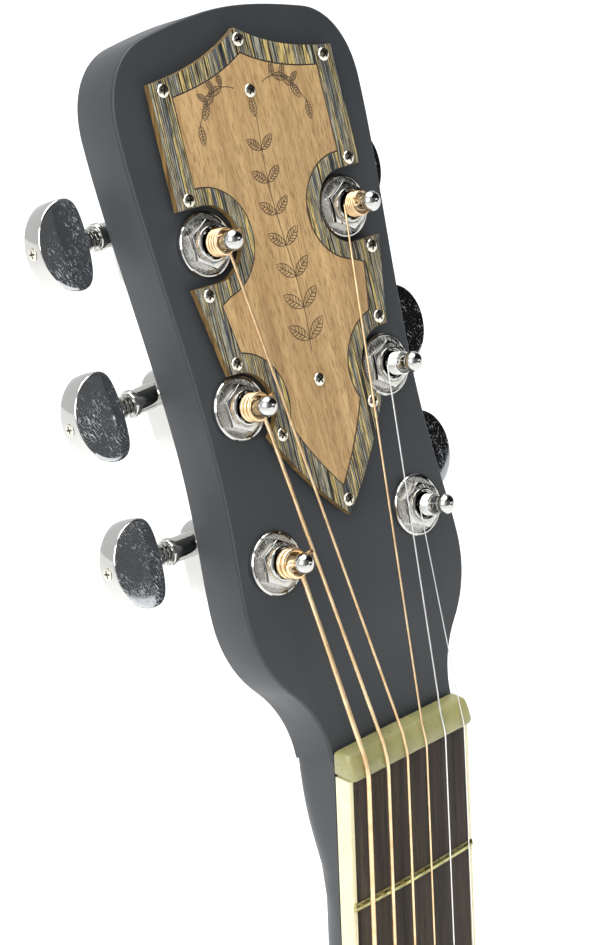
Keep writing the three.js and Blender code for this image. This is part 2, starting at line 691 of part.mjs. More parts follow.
/** A string from its post, over the nut and the saddle, down to its bridge pin. */
function guitarString(number) {
  const radius = STRING_RADII[number - 1];
  const [u, v] = POSTS[number];
  const nutX = stringX(number, NUT_SPREAD);
  const saddleX = stringX(number, SADDLE_SPREAD);
  const inner = new THREE.Vector3(v, nutX - u, 0).normalize().multiplyScalar(-Math.sign(u));
  const start = new THREE.Vector3(u, v, 5)
    .addScaledVector(inner, TUNER.post + GAP + radius) // leaves the post on the side of the centre line
    .applyMatrix4(headstock.matrixWorld);
  const saddleZ = -SCALE - saddleX * -SADDLE.slope;
  return wire(
    [
      start,
      new THREE.Vector3(nutX, -0.55 - radius, NUT.thick - 1),
      new THREE.Vector3(nutX, -1.7 - radius, 0.6),
      new THREE.Vector3(saddleX, saddleTop(saddleX) - GAP - radius, saddleZ),
      new THREE.Vector3(saddleX, BODY.front - BRIDGE.thick - 2 * GAP - radius, saddleZ - 11),
    ],
    radius,
  );
}

const saddleTop = (x) => SADDLE.top + 0.3 + 1.7 * (x / (SADDLE.length / 2)) ** 2;

for (let number = 1; number <= 6; number++) {
  place(`string_${number}`, guitarString(number), number > 2 ? BRONZE : STEEL);
}

// ---------------------------------------------------------------- preamp, jack and strap button

/** The preamp's moulding: a flange on the side, a battery bay and three blind holes for the pots. */
function preampCase() {
  const { wide, tall, flange, deep } = PREAMP;
  const flat = box(flange, wide, tall, -flange / 2 - 2.4, 0, 0);
  const body = box(deep + 3, wide - 4, tall - 4, (deep + 3) / 2 - 3, 0, 0);
  const bay = box(24, 28, 51, 7, 0, PREAMP.bay);
  const shafts = Object.values(KNOBS).map((y) => rod("x", 2.1, -10, 6, 12).translate(0, y, PREAMP.knobs));
  return cut(join(flat, body), bay, ...shafts);
}

/** A control knob with its shaft, turning on the side's outward axis. */
const knob = () => join(rod("x", 5.2, -12, -4.7, 20), rod("x", 1.7, -5, 5, 12));

place("preamp_case", preampCase(), BLACK_PLASTIC, preamp);
place("battery", box(17, 26.5, 48.5, 8.6, 0, PREAMP.bay), STEEL, preamp);
place("battery_door", box(1.8, 32, 54, -5.6, 0, PREAMP.bay), BLACK_PLASTIC, preamp);
for (const [name, y] of Object.entries(KNOBS)) {
  place(name, knob().translate(0, y, PREAMP.knobs), BLACK_PLASTIC, preamp);
}

const jack = turned([
  [3.25, -14], [6.6, -14], [7.6, -12.6], [7.6, -10.6], [5.4, -8.6], [5.4, -4.4], [7.6, -2.4], [8, -GAP],
  [6, -GAP], [6, 32], [3.25, 32], [3.25, -14],
]);
place("output_jack", jack.translate(0, JACK_Y, BODY.top - BODY.length), CHROME);

const strapButton = turned([
  [0, GAP], [5.4, GAP], [3.8, 3], [3.8, 6], [6.6, 8.6], [6.6, 9.6], [5.4, 10.6], [0, 10.6],
]);
strapButton.rotateX(-Math.PI / 2).translate(0, 0, -22);
place("strap_button", onBack(strapButton), CHROME);

export default guitar;
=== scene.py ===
"""The looks of a six-string electro-acoustic guitar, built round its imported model.

Sizes inside the classes are in millimetres and become metres when a mesh is made. The headstock's
pieces are drawn on its face, with u across it, v up it from behind the nut and w out of it. The body's
pieces are drawn as seen from the front.
"""

import json
import logging
import random
from collections.abc import Callable, Iterable, Sequence
from dataclasses import dataclass, field
from enum import Enum
from math import atan2, copysign, cos, pi, radians, sin, sqrt

import bpy
from mathutils import Matrix, Vector


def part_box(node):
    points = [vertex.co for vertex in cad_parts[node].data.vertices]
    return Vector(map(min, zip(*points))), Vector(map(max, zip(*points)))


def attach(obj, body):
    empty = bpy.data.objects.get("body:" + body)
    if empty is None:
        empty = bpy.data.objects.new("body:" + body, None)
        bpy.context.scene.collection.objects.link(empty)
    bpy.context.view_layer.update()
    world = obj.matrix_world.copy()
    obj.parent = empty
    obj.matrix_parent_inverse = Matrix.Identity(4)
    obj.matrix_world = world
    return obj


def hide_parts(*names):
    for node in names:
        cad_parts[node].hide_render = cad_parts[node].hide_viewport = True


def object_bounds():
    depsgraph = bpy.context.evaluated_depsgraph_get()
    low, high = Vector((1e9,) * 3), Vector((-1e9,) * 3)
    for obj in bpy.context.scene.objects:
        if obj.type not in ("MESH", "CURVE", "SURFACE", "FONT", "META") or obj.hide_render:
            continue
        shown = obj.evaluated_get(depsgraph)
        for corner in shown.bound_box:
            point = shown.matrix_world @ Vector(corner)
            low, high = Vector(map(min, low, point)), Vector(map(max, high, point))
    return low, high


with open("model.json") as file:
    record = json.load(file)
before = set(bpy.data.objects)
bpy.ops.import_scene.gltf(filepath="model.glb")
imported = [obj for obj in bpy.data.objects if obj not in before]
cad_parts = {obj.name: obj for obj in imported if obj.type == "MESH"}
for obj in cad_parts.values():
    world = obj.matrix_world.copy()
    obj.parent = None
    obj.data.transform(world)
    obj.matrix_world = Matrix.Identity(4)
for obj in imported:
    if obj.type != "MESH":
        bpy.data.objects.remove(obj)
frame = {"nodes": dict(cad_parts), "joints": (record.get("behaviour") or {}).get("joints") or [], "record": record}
CAD_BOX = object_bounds()

log = logging.getLogger("guitar")

MM = 0.001
BODY = "guitar"  # the body that holds all the fixed pieces
PAINTED_SHADE_RECESS = "recess"  # the face attribute that is one inside a screw's cross, where the chrome is darkened as painted shade

SCALE = 648  # the strings' length between the nut and the saddle
SADDLE_SLOPE = 0.045  # how far the saddle runs up the body for each millimetre across it
SADDLE_CROWN = 1.7  # how far the saddle's top falls away at its ends
STRING_RADII = (0.15, 0.2, 0.3, 0.41, 0.54, 0.67)  # first string to sixth
POST_TURNS = (8, 7, 5, 4, 3, 2.5)  # each string's turns on its post
FIRST_WOUND = 3  # the first string with a bronze winding
POST_CORE = 2.62  # the post's radius under the turns
LOWEST_TURN = 4.7  # over the headstock's face
WORM_TEETH = 14

Piece = bpy.types.Object
Socket = bpy.types.NodeSocket
Point = tuple[float, float]
Line = Sequence[Vector]
Segment = tuple[Point, Point, Point]
Stop = tuple[float, tuple[float, float, float]]


class Blend(Enum):
    """How tools are combined with a piece."""

    JOIN = "UNION"
    CUT = "DIFFERENCE"
    KEEP = "INTERSECT"


# ---------------------------------------------------------------- places taken from the frame


def shift(*place: float) -> Matrix:
    """A move by three distances."""
    return Matrix.Translation(place)


def axes(across: Vector, up: Vector, out: Vector) -> Matrix:
    """The turn that lays X, Y and Z along three directions."""
    return Matrix((across, up, out)).transposed().to_4x4()


def facing(out: Vector, across: tuple = (1, 0, 0)) -> Matrix:
    """The turn that points Z outwards, with X across."""
    return axes(Vector(across), out.cross(Vector(across)), out)


def joint(name: str) -> dict:
    """The frame's joint of that name."""
    return next(j for j in frame["joints"] if j["name"] == name)


def mount_named(name: str) -> dict:
    """The frame's mount of that name."""
    return next(m for m in frame["record"]["mounts"] if m["name"] == name)


def head_matrix() -> Matrix:
    """The headstock face's axes: X goes across it, Y up it and Z out of it.

    Returns:
        A matrix in millimetres whose origin is on the centre line, just behind the nut.
    """
    out = Vector(joint("tuner_1_wind")["axis"]).normalized()
    across = Vector((1, 0, 0))
    up = out.cross(across)
    on_face = Vector(joint("tuner_1_wind")["pos_m"]) / MM
    rise = (on_face.z - HEAD_ROOT_Z) / up.z
    root = Vector((0, on_face.y - rise * up.y, HEAD_ROOT_Z))
    return Matrix.Translation(root) @ axes(across, up, out)


HEAD_ROOT_Z = 5.7
HEAD = head_matrix()
FRONT = Matrix.Rotation(pi / 2, 4, "X")  # drawn X and Y become X and Z, and Z comes out of the front


def node_box(node: str) -> tuple[Vector, Vector]:
    """The lowest and highest corners of a CAD node, in millimetres."""
    low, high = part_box(node)
    return low / MM, high / MM


def post_spot(number: int) -> Vector:
    """Where a tuner's post meets the headstock's face, in the face's own axes."""
    return HEAD.inverted() @ (Vector(joint(f"tuner_{number}_wind")["pos_m"]) / MM)


def string_x(number: int, spread: float) -> float:
    """Where a string lies across the guitar, from the spread of all six."""
    return spread * (0.5 - (number - 1) / 5)


# ---------------------------------------------------------------- outlines


def curve_points(start: Point, segments: Iterable[Segment], steps: int) -> list[Vector]:
    """Points along a chain of cubic curves.

    Args:
        start: Where the chain starts.
        segments: Each curve's two handles and its end.
        steps: The number of points on each curve.

    Returns:
        The start and all the points after it.
    """
    points = [Vector(start)]
    for handles in segments:
        a, (b, c, d) = points[-1], (Vector(p) for p in handles)
        for i in range(1, steps + 1):
            t = i / steps
            s = 1 - t
            points.append(a * s**3 + b * 3 * s * s * t + c * 3 * s * t * t + d * t**3)
    return points


def polar(radius: float, angle: float) -> Vector:
    """A point at an angle, in radians."""
    return radius * Vector((cos(angle), sin(angle)))


def arc_points(centre: Point, radius: float, start: float, end: float, steps: int) -> list[Vector]:
    """Points on an arc, from one angle to another, in degrees."""
    angles = (radians(start + (end - start) * i / steps) for i in range(steps + 1))
    return [Vector(centre) + polar(radius, a) for a in angles]


def toothed(tip: float, root: float, teeth: int) -> list[Vector]:
    """A round outline with teeth as wide as their gaps."""
    steps = 4 * teeth
    return [polar(tip if i % 4 < 2 else root, 2 * pi * i / steps) for i in range(steps)]


def rounded_box(width: float, height: float, radius: float, centre: Point = (0, 0)) -> list[Vector]:
    """A rectangle with round corners."""
    w, h = width / 2 - radius, height / 2 - radius
    x, y = centre
    corners = ((x + w, y + h, 0), (x - w, y + h, 90), (x - w, y - h, 180), (x + w, y - h, 270))
    return [p for u, v, a in corners for p in arc_points((u, v), radius, a, a + 90, 8)]


def spaced(points: Line, least: float) -> list[Vector]:
    """The points that lie at least a distance from the one before."""
    kept = [points[0]]
    for p in points[1:]:
        if (p - kept[-1]).length >= least:
            kept.append(p)
    return kept


def mirrored(half: Line) -> list[Vector]:
    """A closed outline from its right half, which starts and ends on the centre line."""
    return [*half, *(Vector((-p.x, p.y)) for p in reversed(half[1:-1]))]


def inset(outline: Line, distance: float) -> list[Vector]:
    """An anticlockwise outline moved inwards, with its corners kept."""

    def inward(a: Vector, b: Vector) -> Vector:
        return Vector((a.y - b.y, b.x - a.x)).normalized()

    moved = []
    for i, p in enumerate(outline):
        before = inward(outline[i - 1], p)
        after = inward(p, outline[(i + 1) % len(outline)])
        middle = (before + after).normalized()
        moved.append(p + middle * distance / max(middle.dot(before), 0.4))
    return moved


# ---------------------------------------------------------------- the bench


def clear() -> None:
    """Deselects everything."""
    if bpy.context.mode != "OBJECT":
        bpy.ops.object.mode_set(mode="OBJECT")
    bpy.ops.object.select_all(action="DESELECT")


def take(piece: Piece) -> Piece:
    """Selects one piece alone and makes it the active one."""
    clear()
    piece.select_set(True)
    bpy.context.view_layer.objects.active = piece
    return piece


def edit(piece: Piece, *moves: Callable[[], object]) -> Piece:
    """Runs operators in edit mode with all of a piece selected.

    Args:
        piece: The piece to edit.
        moves: Calls that each run one operator.

    Returns:
        The same piece, back in object mode.
    """
    take(piece)
    bpy.ops.object.mode_set(mode="EDIT")
    for move in moves:
        bpy.ops.mesh.select_all(action="SELECT")
        move()
    bpy.ops.object.mode_set(mode="OBJECT")
    return piece


def clean(piece: Piece, distance: float = 0.002 * MM) -> Piece:
    """Merges doubled points and turns the faces outwards."""
    return edit(
        piece,
        lambda: bpy.ops.mesh.remove_doubles(threshold=distance),
        lambda: bpy.ops.mesh.normals_make_consistent(inside=False),
    )


def linked(name: str, data: bpy.types.ID) -> Piece:
    """A new object in the scene, which holds that data."""
    piece = bpy.data.objects.new(name, data)
    bpy.context.scene.collection.objects.link(piece)
    return piece


def mesh(name: str, points: Iterable[Sequence[float]], edges: list, faces: list) -> Piece:
    """A new mesh object from points in millimetres."""
    data = bpy.data.meshes.new(name)
    data.from_pydata([Vector(p) * MM for p in points], edges, faces)
    return linked(name, data)


def turned(name: str, profile: Sequence[Point], steps: int = 48) -> Piece:
    """A body turned about Z, as on a lathe.

    Args:
        name: The piece's name.
        profile: Radius and height of each corner, from axis to axis or back to its start.
        steps: The number of facets round the axis.

    Returns:
        The turned piece.
    """
    edges = [(i, i + 1) for i in range(len(profile) - 1)]
    piece = mesh(name, [(r, 0, h) for r, h in profile], edges, [])
    turn = 2 * pi
    edit(piece, lambda: bpy.ops.mesh.spin(steps=steps, angle=turn, center=(0, 0, 0), axis=(0, 0, 1)))
    return clean(piece)


def drawn(name: str, lines: Iterable[Line], closed: bool, settings: dict) -> Piece:
    """A mesh from a drawing of many-cornered lines.

    Args:
        name: The piece's name.
        lines: The points of each line.
        closed: Whether each line ends where it starts.
        settings: The curve's own settings.

    Returns:
        The piece.
    """
    drawing = bpy.data.curves.new(name, "CURVE")
    for key, value in settings.items():
        setattr(drawing, key, value)
    for line in lines:
        spline = drawing.splines.new("POLY")
        spline.points.add(len(line) - 1)
        spline.points.foreach_set("co", [c for p in line for c in (p.x * MM, p.y * MM, 0, 1)])
        spline.use_cyclic_u = closed
    take(linked(name, drawing))
    bpy.ops.object.convert(target="MESH")
    return bpy.context.object


def plate(name: str, outlines: Sequence[Line], low: float, high: float, edge: float = 0.3) -> Piece:
    """A flat plate cut to an outline, with rounded edges.

    Args:
        name: The piece's name.
        outlines: The outline, and then its holes.
        low: The height of its underside.
        high: The height of its top.
        edge: The radius of its edges.

    Returns:
        The plate, drawn on X and Y.
    """
    settings = {"dimensions": "2D", "fill_mode": "BOTH", "extrude": ((high - low) / 2 - edge) * MM}
    settings |= {"bevel_depth": edge * MM, "bevel_resolution": 3, "offset": -edge * MM}
    piece = drawn(name, outlines, True, settings)
    piece.data.transform(shift(0, 0, (low + high) / 2 * MM))
    return clean(piece)


def loft(name: str, rings: Sequence[Line], tube: bool = False) -> Piece:
    """A body through rings of points, with the same number of points in each.

    Args:
        name: The piece's name.
        rings: The rings, in order.
        tube: Whether the last ring joins the first, in place of a cap on each end.

    Returns:
        The closed body.
    """
    count = len(rings[0])
    pairs = len(rings) if tube else len(rings) - 1
    faces: list = []
    for r in range(pairs):
        here, there = r * count, (r + 1) % len(rings) * count
        for i in range(count):
            j = (i + 1) % count
            faces.append((here + i, here + j, there + j, there + i))
    if not tube:
        faces.append(tuple(range(count))[::-1])
        faces.append(tuple(range((len(rings) - 1) * count, len(rings) * count)))
    piece = mesh(name, [p for ring in rings for p in ring], [], faces)
    return clean(piece)


def wire(name: str, path: Line, radius: Callable[[float], float], sides: int = 8) -> Piece:
    """A round wire along a path, whose radius may change along it.

    Args:
        name: The piece's name.
        path: The points it follows.
        radius: Its radius at each share of its length.
        sides: The number of facets round it.

    Returns:
        The wire.
    """
    rings = []
    across = (path[1] - path[0]).orthogonal().normalized()
    for i, p in enumerate(path):
        along = (path[min(i + 1, len(path) - 1)] - path[max(i - 1, 0)]).normalized()
        across = (across - along * across.dot(along)).normalized()
        third = along.cross(across)
        r = radius(i / (len(path) - 1))
        turn = (2 * pi * k / sides for k in range(sides))
        rings.append([p + r * (across * cos(a) + third * sin(a)) for a in turn])
    return loft(name, rings)


def block(name: str, size: Sequence[float], centre: Sequence[float]) -> Piece:
    """A box of that size, for cutting with or shaping further."""
    clear()
    bpy.ops.mesh.primitive_cube_add(size=MM, location=(0, 0, 0))
    piece = bpy.context.object
    piece.name = name
    piece.data.transform(Matrix.Translation(Vector(centre) * MM) @ Matrix.Diagonal((*size, 1)))
    return piece


def rod(name: str, radius: float, low: float, high: float, sides: int = 32) -> Piece:
    """A straight rod about Z, for cutting with or shaping further."""
    clear()
    bpy.ops.mesh.primitive_cylinder_add(vertices=sides, radius=radius * MM, depth=(high - low) * MM)
    piece = bpy.context.object
    piece.name = name
    piece.data.transform(shift(0, 0, (low + high) / 2 * MM))
    return piece


def modified(piece: Piece, kind: str, **settings: object) -> Piece:
    """Adds a modifier, sets it and applies it."""
    take(piece)
    modifier = piece.modifiers.new(kind.title(), kind)
    for key, value in settings.items():
        setattr(modifier, key, value)
    bpy.ops.object.modifier_apply(modifier=modifier.name)
    return piece


def combined(piece: Piece, tools: Sequence[Piece], how: Blend) -> Piece:
    """Joins tools to a piece, cuts them from it, or keeps what they share."""
    for tool in tools:
        modified(piece, "BOOLEAN", object=tool, operation=how.value, solver="EXACT")
        bpy.data.objects.remove(tool)
    return piece


def rounded(piece: Piece, width: float, segments: int = 3) -> Piece:
    """Rounds a piece's sharp edges."""
    return modified(
        piece, "BEVEL", width=width * MM, segments=segments, limit_method="ANGLE", angle_limit=0.6
    )


def moved(piece: Piece, place: Matrix) -> Piece:
    """Moves a piece's points by a matrix whose place is in millimetres."""
    in_metres = place.copy()
    in_metres.translation = place.translation * MM
    piece.data.transform(in_metres)
    if place.determinant() < 0:
        piece.data.flip_normals()
    return piece


def copied(piece: Piece, name: str, place: Matrix) -> Piece:
    """A copy with a mesh of its own, moved by a matrix in millimetres."""
    twin = piece.copy()
    twin.data = piece.data.copy()
    twin.name = name
    bpy.context.scene.collection.objects.link(twin)
    return moved(twin, place)


def refined(node: str, name: str, edge: float) -> Piece:
    """A copy of a CAD node with its facets merged and its edges rounded."""
    piece = linked(name, frame["nodes"][node].data.copy())
    edit(
        piece,
        lambda: bpy.ops.mesh.remove_doubles(threshold=0.01 * MM),
        lambda: bpy.ops.mesh.dissolve_limited(angle_limit=radians(1)),
    )
    return rounded(piece, edge)


def placed(
    piece: Piece,
    finish: "Finish",
    slot: str,
    body: str = BODY,
    replaces: Sequence[str] = (),
    smooth: float = 32,
) -> Piece:
    """Gives a finished piece its surface and the body that it moves with.

    Args:
        piece: The piece, in place.
        finish: Its finish.
        slot: The record's material slot; not used.
        body: The body it rides on.
        replaces: The CAD nodes that it stands for.
        smooth: The sharpest angle that is still shaded smooth, in degrees.

    Returns:
        The same piece.
    """
    take(piece)
    piece.data.materials.clear()
    piece.data.materials.append(finish.material())
    bpy.ops.object.shade_smooth_by_angle(angle=radians(smooth))
    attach(piece, body)
    if replaces:
        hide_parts(*replaces)
    log.info("%s: %d faces, rides on %s", piece.name, len(piece.data.polygons), body)
    return piece


# ---------------------------------------------------------------- finishes


class Recipe:
    """A material's nodes, added one at a time round one shader."""

    def __init__(self, name: str, **settings: object) -> None:
        """Starts a material.

        Args:
            name: The material's name.
            settings: Values for the shader's own sockets, with underscores for spaces.
        """
        self.made = bpy.data.materials.new(name)
        self.made.use_nodes = True
        self.shader = self.made.node_tree.nodes["Principled BSDF"]
        for key, value in settings.items():
            socket = self.shader.inputs[key.replace("_", " ")]
            socket.default_value = (*value, 1) if isinstance(value, tuple) else value

    def node(self, kind: str, inputs: dict | None = None, **settings: object) -> bpy.types.Node:
        """Adds a node, with its settings, and its inputs as values or links."""
        made = self.made.node_tree.nodes.new(kind)
        for key, value in settings.items():
            setattr(made, key, value)
        for key, value in (inputs or {}).items():
            if isinstance(value, Socket):
                self.made.node_tree.links.new(value, made.inputs[key])
            else:
                made.inputs[key].default_value = value
        return made

    def grid(self, scale: Sequence[float] = (1, 1, 1), turn: Sequence[float] = (0, 0, 0)) -> Socket:
        """The piece's own coordinates, turned and then stretched.

        Args:
            scale: How often a pattern repeats along each axis.
            turn: The angles that bring the guitar's axes on to the pattern's, in radians.

        Returns:
            The coordinates' socket.
        """
        place = self.node("ShaderNodeTexCoord").outputs["Object"]
        turned = self.node("ShaderNodeMapping", {"Vector": place, "Rotation": turn})
        return self.node("ShaderNodeMapping", {"Vector": turned.outputs[0], "Scale": scale}).outputs[0]

    def noise(
        self, grid: Socket, scale: float, detail: float = 4, rough: float = 0.55, warp: float = 0
    ) -> Socket:
        """A noise pattern's value."""
        inputs = {"Vector": grid, "Scale": scale, "Detail": detail, "Roughness": rough, "Distortion": warp}
        return self.node("ShaderNodeTexNoise", inputs).outputs[0]

    def ramp(self, value: Socket, stops: Sequence[Stop], steps: bool = False) -> Socket:
        """Colours for a value, from a list of places and colours."""
        made = self.node("ShaderNodeValToRGB", {"Fac": value})
        made.color_ramp.interpolation = "CONSTANT" if steps else "LINEAR"
        for i, (place, colour) in enumerate(stops):
            keys = made.color_ramp.elements
            key = keys[i] if i < 2 else keys.new(place)
            key.position = place
            key.color = (*colour, 1)
        return made.outputs[0]

    def between(self, value: Socket, low: float, high: float, to_low: float, to_high: float) -> Socket:
        """A value's range moved to another range and held within it."""
        inputs = {"Value": value, 1: low, 2: high, 3: to_low, 4: to_high}
        return self.node("ShaderNodeMapRange", inputs).outputs[0]

    def mixed(self, share: object, a: object, b: object, how: str = "MIX") -> Socket:
        """Two colours mixed by a share."""
        made = self.node("ShaderNodeMix", {0: share, 6: a, 7: b}, data_type="RGBA", blend_type=how)
        return made.outputs[2]

    def maths(self, how: str, *values: object) -> Socket:
        """A sum, product or other result of one or two values."""
        return self.node("ShaderNodeMath", dict(enumerate(values)), operation=how).outputs[0]

    def to(self, socket: str, value: Socket) -> None:
        """Links a value to one of the shader's sockets."""
        self.made.node_tree.links.new(value, self.shader.inputs[socket])

    def rough(self, value: Socket, low: float, high: float) -> None:
        """Lets a pattern swing the roughness between two ends."""
        self.to("Roughness", self.between(value, 0.3, 0.7, low, high))

    def raise_by(self, height: Socket, strength: float, distance: float) -> None:
        """Adds a bump, in millimetres, on top of the ones before."""
        inputs: dict = {"Height": height, "Strength": strength, "Distance": distance * MM}
        before = self.shader.inputs["Normal"].links
        if before:
            inputs["Normal"] = before[0].from_socket
        self.to("Normal", self.node("ShaderNodeBump", inputs).outputs[0])


class Finish:
    """A surface finish, whose material is made once and shared."""

    _made: dict = {}

    def material(self) -> bpy.types.Material:
        """The finish's material."""
        if self not in Finish._made:
            Finish._made[self] = self.mix()
        return Finish._made[self]

    def mix(self) -> bpy.types.Material:
        """Makes the material."""
        raise NotImplementedError


LEAN = (-HEAD.to_euler().x, 0, 0)  # the turn that lays a pattern's Y up the headstock's face


@dataclass(frozen=True)
class SatinLacquer(Finish):
    """Black lacquer rubbed to a satin, with dust and faint handling marks."""

    name: str = "satin_lacquer"
    dark: tuple = (0.028, 0.031, 0.034)
    light: tuple = (0.037, 0.041, 0.0445)
    roughness: float = 0.42

    def mix(self) -> bpy.types.Material:
        """Makes the material."""
        made = Recipe(self.name, Specular_IOR_Level=0.36)
        grid = made.grid()
        cloud = made.noise(grid, 16, 5)
        colour = made.ramp(cloud, [(0.3, self.dark), (0.75, self.light)])
        specks = made.between(made.noise(grid, 1900, 2, 0.5), 0.71, 0.78, 0, 0.35)
        made.to("Base Color", made.mixed(specks, colour, (0.16, 0.17, 0.17, 1)))
        made.rough(made.noise(grid, 45, 6, 0.6), self.roughness - 0.06, self.roughness + 0.08)
        made.raise_by(made.noise(grid, 900, 3), 0.12, 0.02)
        return made.made


@dataclass(frozen=True)
class Chrome(Finish):
    """Plated metal, polished, with specks and scratches that scatter the light."""

    name: str = "chrome"
    colour: tuple = (0.57, 0.565, 0.54)
    roughness: float = 0.07
    wear: float = 0.16
    clean: float = 0.60  # the share of the surface without marks grows with it

    def mix(self) -> bpy.types.Material:
        """Makes the material."""
        made = Recipe(self.name, Metallic=1.0)
        grid = made.grid()
        specks = made.noise(grid, 2300, 4, 0.7)
        patches = made.noise(grid, 120, 4, 0.6)
        scratches = made.noise(made.grid((1, 0.12, 0.12), (0.5, 0.3, 0.7)), 4600, 3, 0.6)
        worn = made.maths("MAXIMUM", specks, scratches)
        marks = made.between(worn, self.clean, self.clean + 0.1, 0, self.wear)
        cover = made.between(patches, 0.40, 0.58, 0.15, 1)
        marks = made.maths("MULTIPLY", marks, cover)
        made.to("Roughness", made.between(marks, 0, 1, self.roughness, 0.6))
        made.to("Metallic", made.between(marks, 0.3, 1, 1, 0.45))
        tint = tuple(0.86 * c for c in self.colour)
        plating = made.mixed(patches, (*tint, 1), (*self.colour, 1))
        worn_tone = made.mixed(marks, plating, (0.80, 0.82, 0.85, 1))
        # faces inside a screw's cross are mixed to near black: painted shade
        recess = made.node("ShaderNodeAttribute", attribute_name=PAINTED_SHADE_RECESS).outputs["Fac"]
        made.to("Base Color", made.mixed(recess, worn_tone, (0.03, 0.028, 0.024, 1)))
        made.raise_by(marks, 0.35, 0.012)
        return made.made


@dataclass(frozen=True)
class Metal(Finish):
    """Drawn or cast metal with a fine grain."""

    name: str
    dark: tuple
    light: tuple
    roughness: float = 0.3
    grain: float = 900

    def mix(self) -> bpy.types.Material:
        """Makes the material."""
        made = Recipe(self.name, Metallic=1.0)
        grid = made.grid()
        made.to("Base Color", made.ramp(made.noise(grid, 220, 5), [(0.3, self.dark), (0.7, self.light)]))
        fine = made.noise(grid, self.grain, 4, 0.65)
        made.rough(fine, self.roughness - 0.08, self.roughness + 0.12)
        made.raise_by(fine, 0.2, 0.015)
        return made.made


@dataclass(frozen=True)
class Bone(Finish):
    """Cream bone or celluloid, slightly translucent, with faint veins."""

    name: str
    light: tuple
    dark: tuple
    roughness: float = 0.32

    def mix(self) -> bpy.types.Material:
        """Makes the material."""
        made = Recipe(self.name, Subsurface_Weight=0.12, Subsurface_Scale=0.002, Coat_Weight=0.15)
        grid = made.grid()
        tone = made.ramp(made.noise(grid, 60, 4), [(0.3, self.dark), (0.62, self.light)])
        vein = made.noise(made.grid((1, 1, 0.6)), 110, 3, 0.5, 2.5)
        thin = made.between(made.maths("SUBTRACT", vein, 0.5), -0.012, 0.0, 0, 1)
        thin = made.maths("MULTIPLY", thin, made.between(vein, 0.5, 0.515, 1, 0))
        deep = tuple(0.72 * c for c in self.dark)
        share = made.maths("MULTIPLY", thin, 0.4)
        made.to("Base Color", made.mixed(share, tone, (*deep, 1)))
        made.rough(made.noise(grid, 300, 4), self.roughness - 0.08, self.roughness + 0.12)
        made.raise_by(made.noise(grid, 700, 3), 0.12, 0.02)
        return made.made


@dataclass(frozen=True)
class Timber(Finish):
    """Wood with streaks and pores that run along one way."""

    name: str
    dark: tuple
    light: tuple
    turn: tuple = (0, 0, 0)
    streaks: float = 420
    pores: float = 0.6
    roughness: float = 0.55
    pore_colour: tuple = (0.01, 0.007, 0.005)
    gloss: float = 0.35

    def mix(self) -> bpy.types.Material:
        """Makes the material. The grain runs along the pattern's Z before the turn, as up the neck."""
        made = Recipe(self.name, Specular_IOR_Level=self.gloss)
        long_grain = made.grid((1, 1, 0.035), self.turn)
        bands = made.noise(long_grain, self.streaks, 5, 0.6, 0.4)
        broad = made.noise(made.grid((1, 1, 0.08), self.turn), self.streaks / 9, 3, 0.5, 0.8)
        tone = made.ramp(bands, [(0.28, self.dark), (0.72, self.light)])
        shade = made.ramp(broad, [(0.3, (0.72, 0.70, 0.68)), (0.7, (1.12, 1.08, 1.04))])
        tone = made.mixed(1.0, tone, shade, "MULTIPLY")
        dash = made.noise(made.grid((1, 1, 0.07), self.turn), self.streaks * 5, 2, 0.5)
        pore = made.between(dash, 0.62, 0.70, 0, self.pores)
        made.to("Base Color", made.mixed(pore, tone, (*self.pore_colour, 1)))
        made.rough(bands, self.roughness - 0.08, self.roughness + 0.1)
        made.raise_by(made.between(dash, 0.55, 0.75, 1, 0), 0.35, 0.04)
        made.raise_by(bands, 0.15, 0.03)
        return made.made


@dataclass(frozen=True)
class StripedVeneer(Finish):
    """Laminated veneers in grey, black, yellow and olive, cut across their edges."""

    name: str = "striped_veneer"

    def mix(self) -> bpy.types.Material:
        """Makes the material. The veneers run up the headstock's face."""
        made = Recipe(self.name, Specular_IOR_Level=0.35)
        wavy = made.grid((1, 0.012, 0.2), LEAN)
        veneers = made.noise(wavy, 430, 1.6, 0.5, 0.15)
        slate, dark = (0.052, 0.060, 0.070), (0.012, 0.013, 0.013)
        pale, yellow = (0.230, 0.225, 0.180), (0.360, 0.280, 0.110)
        stops = [
            (0.0, slate), (0.33, pale), (0.37, dark), (0.40, slate), (0.435, yellow), (0.465, dark),
            (0.49, pale), (0.525, slate), (0.56, yellow), (0.59, dark), (0.62, pale), (0.67, slate),
        ]
        tone = made.ramp(veneers, stops, steps=True)
        fleck = made.noise(made.grid((1, 0.09, 1), LEAN), 3000, 3, 0.6)
        marks = made.ramp(fleck, [(0.36, (0.27, 0.26, 0.25)), (0.63, (1.62, 1.58, 1.48))])
        made.to("Base Color", made.mixed(0.9, tone, marks, "MULTIPLY"))
        made.rough(fleck, 0.42, 0.68)
        made.raise_by(fleck, 0.4, 0.03)
        return made.made


